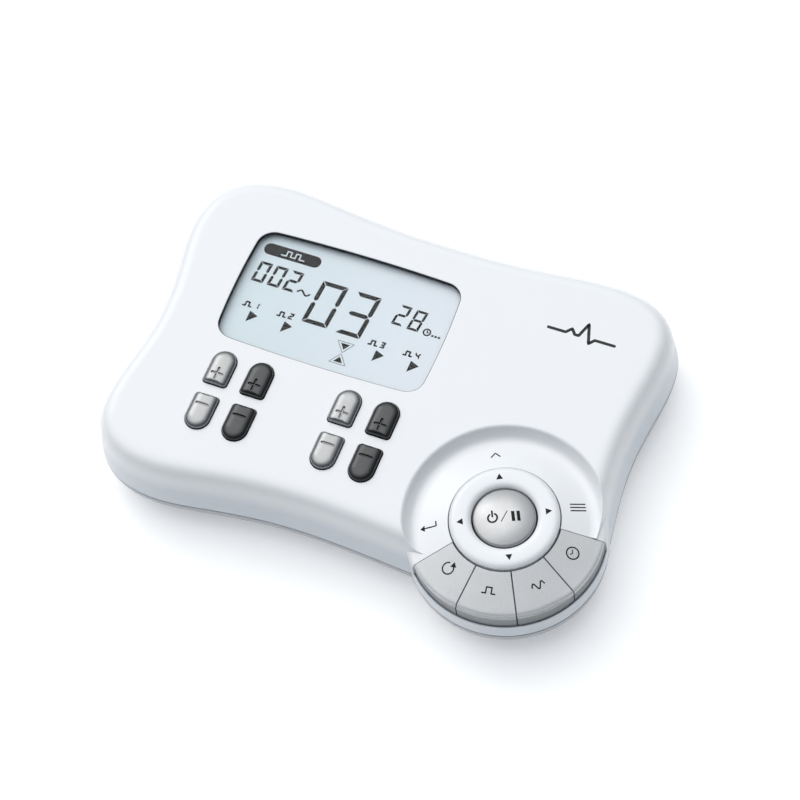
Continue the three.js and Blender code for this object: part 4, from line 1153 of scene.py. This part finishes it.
def on_curved(px, py, tx):
    """Places a small sign at (px, py) from the dial axis, its baseline turned to tx degrees."""
    c, s = math.cos(math.radians(tx)), math.sin(math.radians(tx))

    def to(v):
        x = px + v[:, 0] * c - v[:, 1] * s
        y = py + v[:, 0] * s + v[:, 1] * c
        return np.column_stack([DIAL[0] + x, DIAL[1] + y, curved_z(np.hypot(x, y)) + v[:, 2]])
    return to


def on_deck(px, py, tx):
    c, s = math.cos(math.radians(tx)), math.sin(math.radians(tx))

    def to(v):
        x = px + v[:, 0] * c - v[:, 1] * s
        y = py + v[:, 0] * s + v[:, 1] * c
        return np.column_stack([DIAL[0] + x, DIAL[1] + y, cone(np.hypot(x, y)) + v[:, 2]])
    return to


H0, H1 = -0.08, 0.03
# cycle: arrow that runs round
to = on_curved(-10.64, -20.36, -28)
arc = [(1.75 * math.cos(a), 1.75 * math.sin(a)) for a in np.radians(np.linspace(60, 60 - 300, 40))]
sg = [stroke(arc, 0.42, H0, H1, False, to), slab([(0.15, 2.65), (0.15, 0.75), (1.75, 1.75)], H0, H1, to)]
final(merge(sg, "cycle_sign"), "cycle_sign", "cycle_key", M["print"], slot="satin_silver", angle=60)
# pulse width: one square pulse
to = on_curved(3.56, -23.01, 9)
sg = [stroke([(-2.0, -0.85), (-0.85, -0.85)], 0.42, H0, H1, False, to), stroke([(-0.85, -0.85), (-0.85, 0.95)], 0.42, H0, H1, False, to),
      stroke([(-0.85, 0.95), (0.85, 0.95)], 0.42, H0, H1, False, to), stroke([(0.85, 0.95), (0.85, -0.85)], 0.42, H0, H1, False, to),
      stroke([(0.85, -0.85), (2.0, -0.85)], 0.42, H0, H1, False, to)]
final(merge(sg, "pulse_sign"), "pulse_sign", "pulse_width_key", M["print"], slot="satin_silver", angle=60)
# frequency: a sine wave
to = on_curved(16.95, -16.47, 45)
wave = [(-2.0 + 4.0 * t, 0.95 * math.sin(TAU * 1.5 * t)) for t in np.linspace(0, 1, 40)]
final(merge([stroke(wave, 0.42, H0, H1, False, to)], "rate_sign"), "rate_sign", "frequency_key", M["print"], slot="satin_silver", angle=60)
# timer: a clock face with hands
to = on_curved(23.08, -3.14, 27)
sg = [stroke(circle(0, 0, 1.85, 40), 0.42, H0, H1, True, to), stroke([(0, 1.05), (0, 0.0)], 0.3, H0, H1, False, to),
      stroke([(0, 0.0), (-0.75, -0.35)], 0.3, H0, H1, False, to)]
sg += [slab([(1.2 * math.cos(a) + 0.11 * math.cos(b), 1.2 * math.sin(a) + 0.11 * math.sin(b)) for b in np.linspace(0, TAU, 9)[:-1]], H0, H1, to)
       for a in (0, math.pi, -math.pi / 2)]
final(merge(sg, "timer_sign"), "timer_sign", "timer_key", M["print"], slot="satin_silver", angle=60)
# signs printed on the white deck: chevron, list bars, return arrow
sg = []
to = on_deck(-10.71, 20.09, 27)
sg += [stroke([(-1.35, -0.75), (0, 0.75), (1.35, -0.75)], 0.42, H0, H1, False, to)]
to = on_deck(19.42, 11.62, 27)
sg += [stroke([(-2.2, y), (2.2, y)], 0.40, H0, H1, False, to) for y in (-1.1, 0.0, 1.1)]
to = on_deck(-21.27, -9.44, 27)
sg += [stroke([(2.3, 1.2), (2.3, -0.3), (-1.6, -0.3)], 0.42, H0, H1, False, to), slab([(-2.7, -0.3), (-1.3, 0.75), (-1.3, -1.35)], H0, H1, to)]
final(merge(sg, "deck_signs"), "deck_signs", "root", M["print"], slot="white_shell", angle=60)
# small generic pulse sign at the rear right corner of the top
cx, cy = 54.6, 37.6
wave = [(-11.0, -1.6), (-5.2, -1.6), (-3.6, 0.2), (-2.2, -1.6), (-0.9, -1.6), (0.9, 3.4), (3.0, -3.4), (4.5, -1.6), (11.0, -1.6)]
z_to = lambda v: np.column_stack([cx + v[:, 0], cy + v[:, 1], TOP + v[:, 2]])
final(merge([stroke(wave, 1.0, H0, H1, False, z_to)], "top_sign"), "top_sign", "root", M["print_grey"], slot="white_shell", angle=60)

# ------------------------------------------------------------------ lead sockets
for i, x in enumerate(SOCKET_X):
    lo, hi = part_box(f"output_socket_{i + 1}")
    y, z0, z1 = hi.y * 1000, lo.z * 1000, hi.z * 1000
    zc = (z0 + z1) / 2

    def face(w, h, r, yy):
        p = rrect(x, zc, w, h, r, 6, 0)
        return np.column_stack([p[:, 0], np.full(len(p), yy), p[:, 1]])
    body = loft([face(10.4, 6.2, 0.5, y - 13), face(10.9, 6.7, 0.6, y - 12.7), face(11.0, 6.8, 0.7, y - 12), face(11.0, 6.8, 0.7, y - 0.3),
                 face(10.9, 6.7, 0.7, y - 0.1), face(10.6, 6.4, 0.6, y)])
    cut(body, loft([face(8.6, 4.9, 0.9, y - 8), face(8.8, 5.1, 1.0, y - 7.7), face(8.8, 5.1, 1.0, y - 0.5), face(8.95, 5.25, 1.05, y - 0.2),
                    face(9.3, 5.6, 1.15, y + 0.01), face(9.4, 5.7, 1.2, y + 1)]))
    final(body, f"lead_socket_body_{i + 1}", "root", M["black"], [f"output_socket_{i + 1}"], "socket_plastic", 32)
    pin = revolve([(0, -8.6), (1.0, -8.6), (1.0, -3.2), (0.85, -2.75), (0.5, -2.5), (0, -2.45)], 32)
    co = np.array([p.co for p in pin.data.vertices])
    for p, c in zip(pin.data.vertices, co):
        p.co = (x + c[0], y + c[2], zc - c[1])
    final(pin, f"lead_socket_pin_{i + 1}", "root", M["contact"], slot="contact_metal")

# ------------------------------------------------------------------ batteries
for i, cy in enumerate(CELL_Y):
    flip = i % 2 == 1
    a, b = CELL_X
    s = -1 if flip else 1
    prof = [(0, a + 0.15), (4.2, a + 0.15), (4.5, a), (6.2, a)] + bezier((6.2, a), (6.8, a), (7.25, a + 0.25), (7.25, a + 0.7), 6)[1:]
    prof += [(7.25, a + 2), (7.25, b - 4)] + bezier((7.25, b - 2.2), (7.25, b - 1.6), (6.9, b - 1.3), (6.4, b - 1.25), 6)
    prof += [(4.2, b - 1.35), (3.4, b - 1.5), (2.9, b - 1.4), (2.75, b - 1.1)] + bezier((2.7, b - 0.5), (2.7, b - 0.15), (2.5, b), (2.2, b), 5) + [(0, b)]
    if flip:
        prof = [(r, a + b - z) for r, z in prof]
    cell = turn_x(revolve(prof, 72), cy, CELL_Z)
    co = [p.co.copy() for p in cell.data.vertices]
    if signed_volume(np.array(co), [tuple(p.vertices) for p in cell.data.polygons]) < 0:
        cell.data.flip_normals()
    final(cell, f"cell_{i + 1}", "root", cell_mat(flip), [f"battery_{i + 1}"], "cell_jacket", 32)
    # coil at the flat end
    x0 = TUB["x1"] - 0.45 if flip else TUB["x0"] + 0.45
    turns, n, k = 3.0, 150, 10
    t = np.linspace(0, 1, n)
    ang = t * turns * TAU
    r = 4.3 - 1.7 * t
    ease = np.clip(t * 1.25 - 0.12, 0, 1)
    path = np.stack([x0 + s * (0.05 + 2.55 * ease), cy + r * np.cos(ang), CELL_Z + r * np.sin(ang)], 1)
    tan = np.gradient(path, axis=0)
    tan /= np.linalg.norm(tan, axis=1)[:, None]
    out = np.stack([np.zeros(n), np.cos(ang), np.sin(ang)], 1)
    out -= tan * (out * tan).sum(1)[:, None]
    out /= np.linalg.norm(out, axis=1)[:, None]
    bi = np.cross(tan, out)
    rings = [path[j] + 0.24 * (np.cos(np.arange(k) / k * TAU)[:, None] * out[j] + np.sin(np.arange(k) / k * TAU)[:, None] * bi[j]) for j in range(n)]
    final(loft(rings), f"coil_{i + 1}", "root", M["contact"], [f"battery_spring_{i + 1}"], "contact_metal", 60)
    # plate with a pressed dimple
    lo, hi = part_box(f"battery_contact_{i + 1}")
    px0, px1 = lo.x * 1000, hi.x * 1000
    d = 1 if flip else -1
    line = rrect(0, 0, 10, 10, 1.0, 5, 0.8)
    face_x = px1 if flip else px0
    back_x = px0 if flip else px1
    rings = [np.column_stack([np.full(len(line), back_x), cy + line[:, 0], CELL_Z + line[:, 1]]),
             np.column_stack([np.full(len(line), face_x - d * 0.08), cy + line[:, 0], CELL_Z + line[:, 1]]),
             np.column_stack([np.full(len(line), face_x), cy + line[:, 0] * 0.985, CELL_Z + line[:, 1] * 0.985])]
    for q, dx in ((0.5, 0.0), (0.42, 0.02), (0.34, 0.10), (0.2, 0.16), (0.08, 0.18)):
        rings.append(np.column_stack([np.full(len(line), face_x + d * dx), cy + line[:, 0] * q, CELL_Z + line[:, 1] * q]))
    final(loft(rings), f"contact_plate_{i + 1}", "root", M["contact"], [f"battery_contact_{i + 1}"], "contact_metal", 50)

# ------------------------------------------------------------------ kept CAD nodes inside the case
for n, m in {"lcd_frame": "inner", "lcd_backlight": "backlight", "lcd_connector_strip": "strip", "nav_ring_actuator": "inner",
             "channel_key_mat": "mat", "dial_key_mat": "mat", "main_board": "board", "dial_board": "board",
             "ribbon_cable": "ribbon", "mcu_chip": "chip", "reservoir_capacitor": "sleeve", "buzzer": "chip",
             "output_transformer_1": "core", "output_transformer_2": "core", "output_transformer_3": "core",
             "output_transformer_4": "core"}.items():
    plain(n, M[m])

# ------------------------------------------------------------------ floor, light, camera
s = 3.0
me = bpy.data.meshes.new("floor")
g = 24
vv = [(-s + 2 * s * i / g, -s + 2 * s * j / g, 0.0) for j in range(g + 1) for i in range(g + 1)]
ff = [(j * (g + 1) + i, j * (g + 1) + i + 1, (j + 1) * (g + 1) + i + 1, (j + 1) * (g + 1) + i) for j in range(g) for i in range(g)]
me.from_pydata(vv, [], ff)
floor = bpy.data.objects.new("floor", me)
bpy.context.scene.collection.objects.link(floor)
fm = surface("floor_pale", (0.95, 0.95, 0.95), 0.7, cloud=(3, 0.004), grain=(600, 0.006), bump=(900, 0.00002, 0.05), spec=0.1)
fb = next(n for n in fm.node_tree.nodes if n.type == "BSDF_PRINCIPLED")
fb.inputs["Emission Color"].default_value = (1, 1, 1, 1)
fb.inputs["Emission Strength"].default_value = 0.25
me.materials.append(fm)

world = bpy.data.worlds.new("studio")
bpy.context.scene.world = world
world.use_nodes = True
nt = world.node_tree
nt.nodes.clear()
wo = nt.nodes.new("ShaderNodeOutputWorld")
bg = nt.nodes.new("ShaderNodeBackground")
tc = nt.nodes.new("ShaderNodeTexCoord")
# one large soft source overhead, leaning to the rear left, over a dark horizon
SOFT = Vector((-0.33, 0.29, 0.895)).normalized()
dt = nt.nodes.new("ShaderNodeVectorMath")
dt.operation = "DOT_PRODUCT"
dt.inputs[1].default_value = SOFT
nt.links.new(tc.outputs["Generated"], dt.inputs[0])
wr = ramp(nt, dt.outputs["Value"], [(0.0, (0.045, 0.055, 0.068)), (0.30, (0.055, 0.067, 0.082)), (0.55, (0.12, 0.132, 0.145)),
                                    (0.76, (0.43, 0.445, 0.46)), (0.90, (0.93, 0.94, 0.95)), (1.0, (1.0, 1.0, 1.0))])
wr.color_ramp.interpolation = "EASE"
nt.links.new(wr.outputs[0], bg.inputs[0])
bg.inputs[1].default_value = 2.36
nt.links.new(bg.outputs[0], wo.inputs[0])

# a weaker panel lamp low at the rear left gives the keys and the dome their highlights
ld = bpy.data.lights.new("panel_lamp", "AREA")
ld.shape, ld.size, ld.energy, ld.color = "SQUARE", 0.30, 0.40, (1.0, 0.995, 0.985)
lamp = bpy.data.objects.new("panel_lamp", ld)
bpy.context.scene.collection.objects.link(lamp)
lp = Vector((-0.531, 0.306, 0.514))
lamp.matrix_world = Matrix.Translation(lp) @ lp.to_track_quat("Z", "Y").to_matrix().to_4x4()

cam_data = bpy.data.cameras.new("camera")
cam = bpy.data.objects.new("camera", cam_data)
bpy.context.scene.collection.objects.link(cam)
cam_data.sensor_width = 36
cam_data.lens = 102.87
cam_data.clip_start = 0.01
back = Vector((0.2573, -0.4055, 0.8771)).normalized()
right = Vector((0.9226, 0.3731, -0.0982))
right = (right - back * right.dot(back)).normalized()
up = back.cross(right)
rot = Matrix((right, up, back)).transposed().to_4x4()
cam.matrix_world = Matrix.Translation((0.1930, -0.2941, 0.6590)) @ rot
bpy.context.scene.camera = cam
bpy.context.scene.view_settings.view_transform = "Standard"
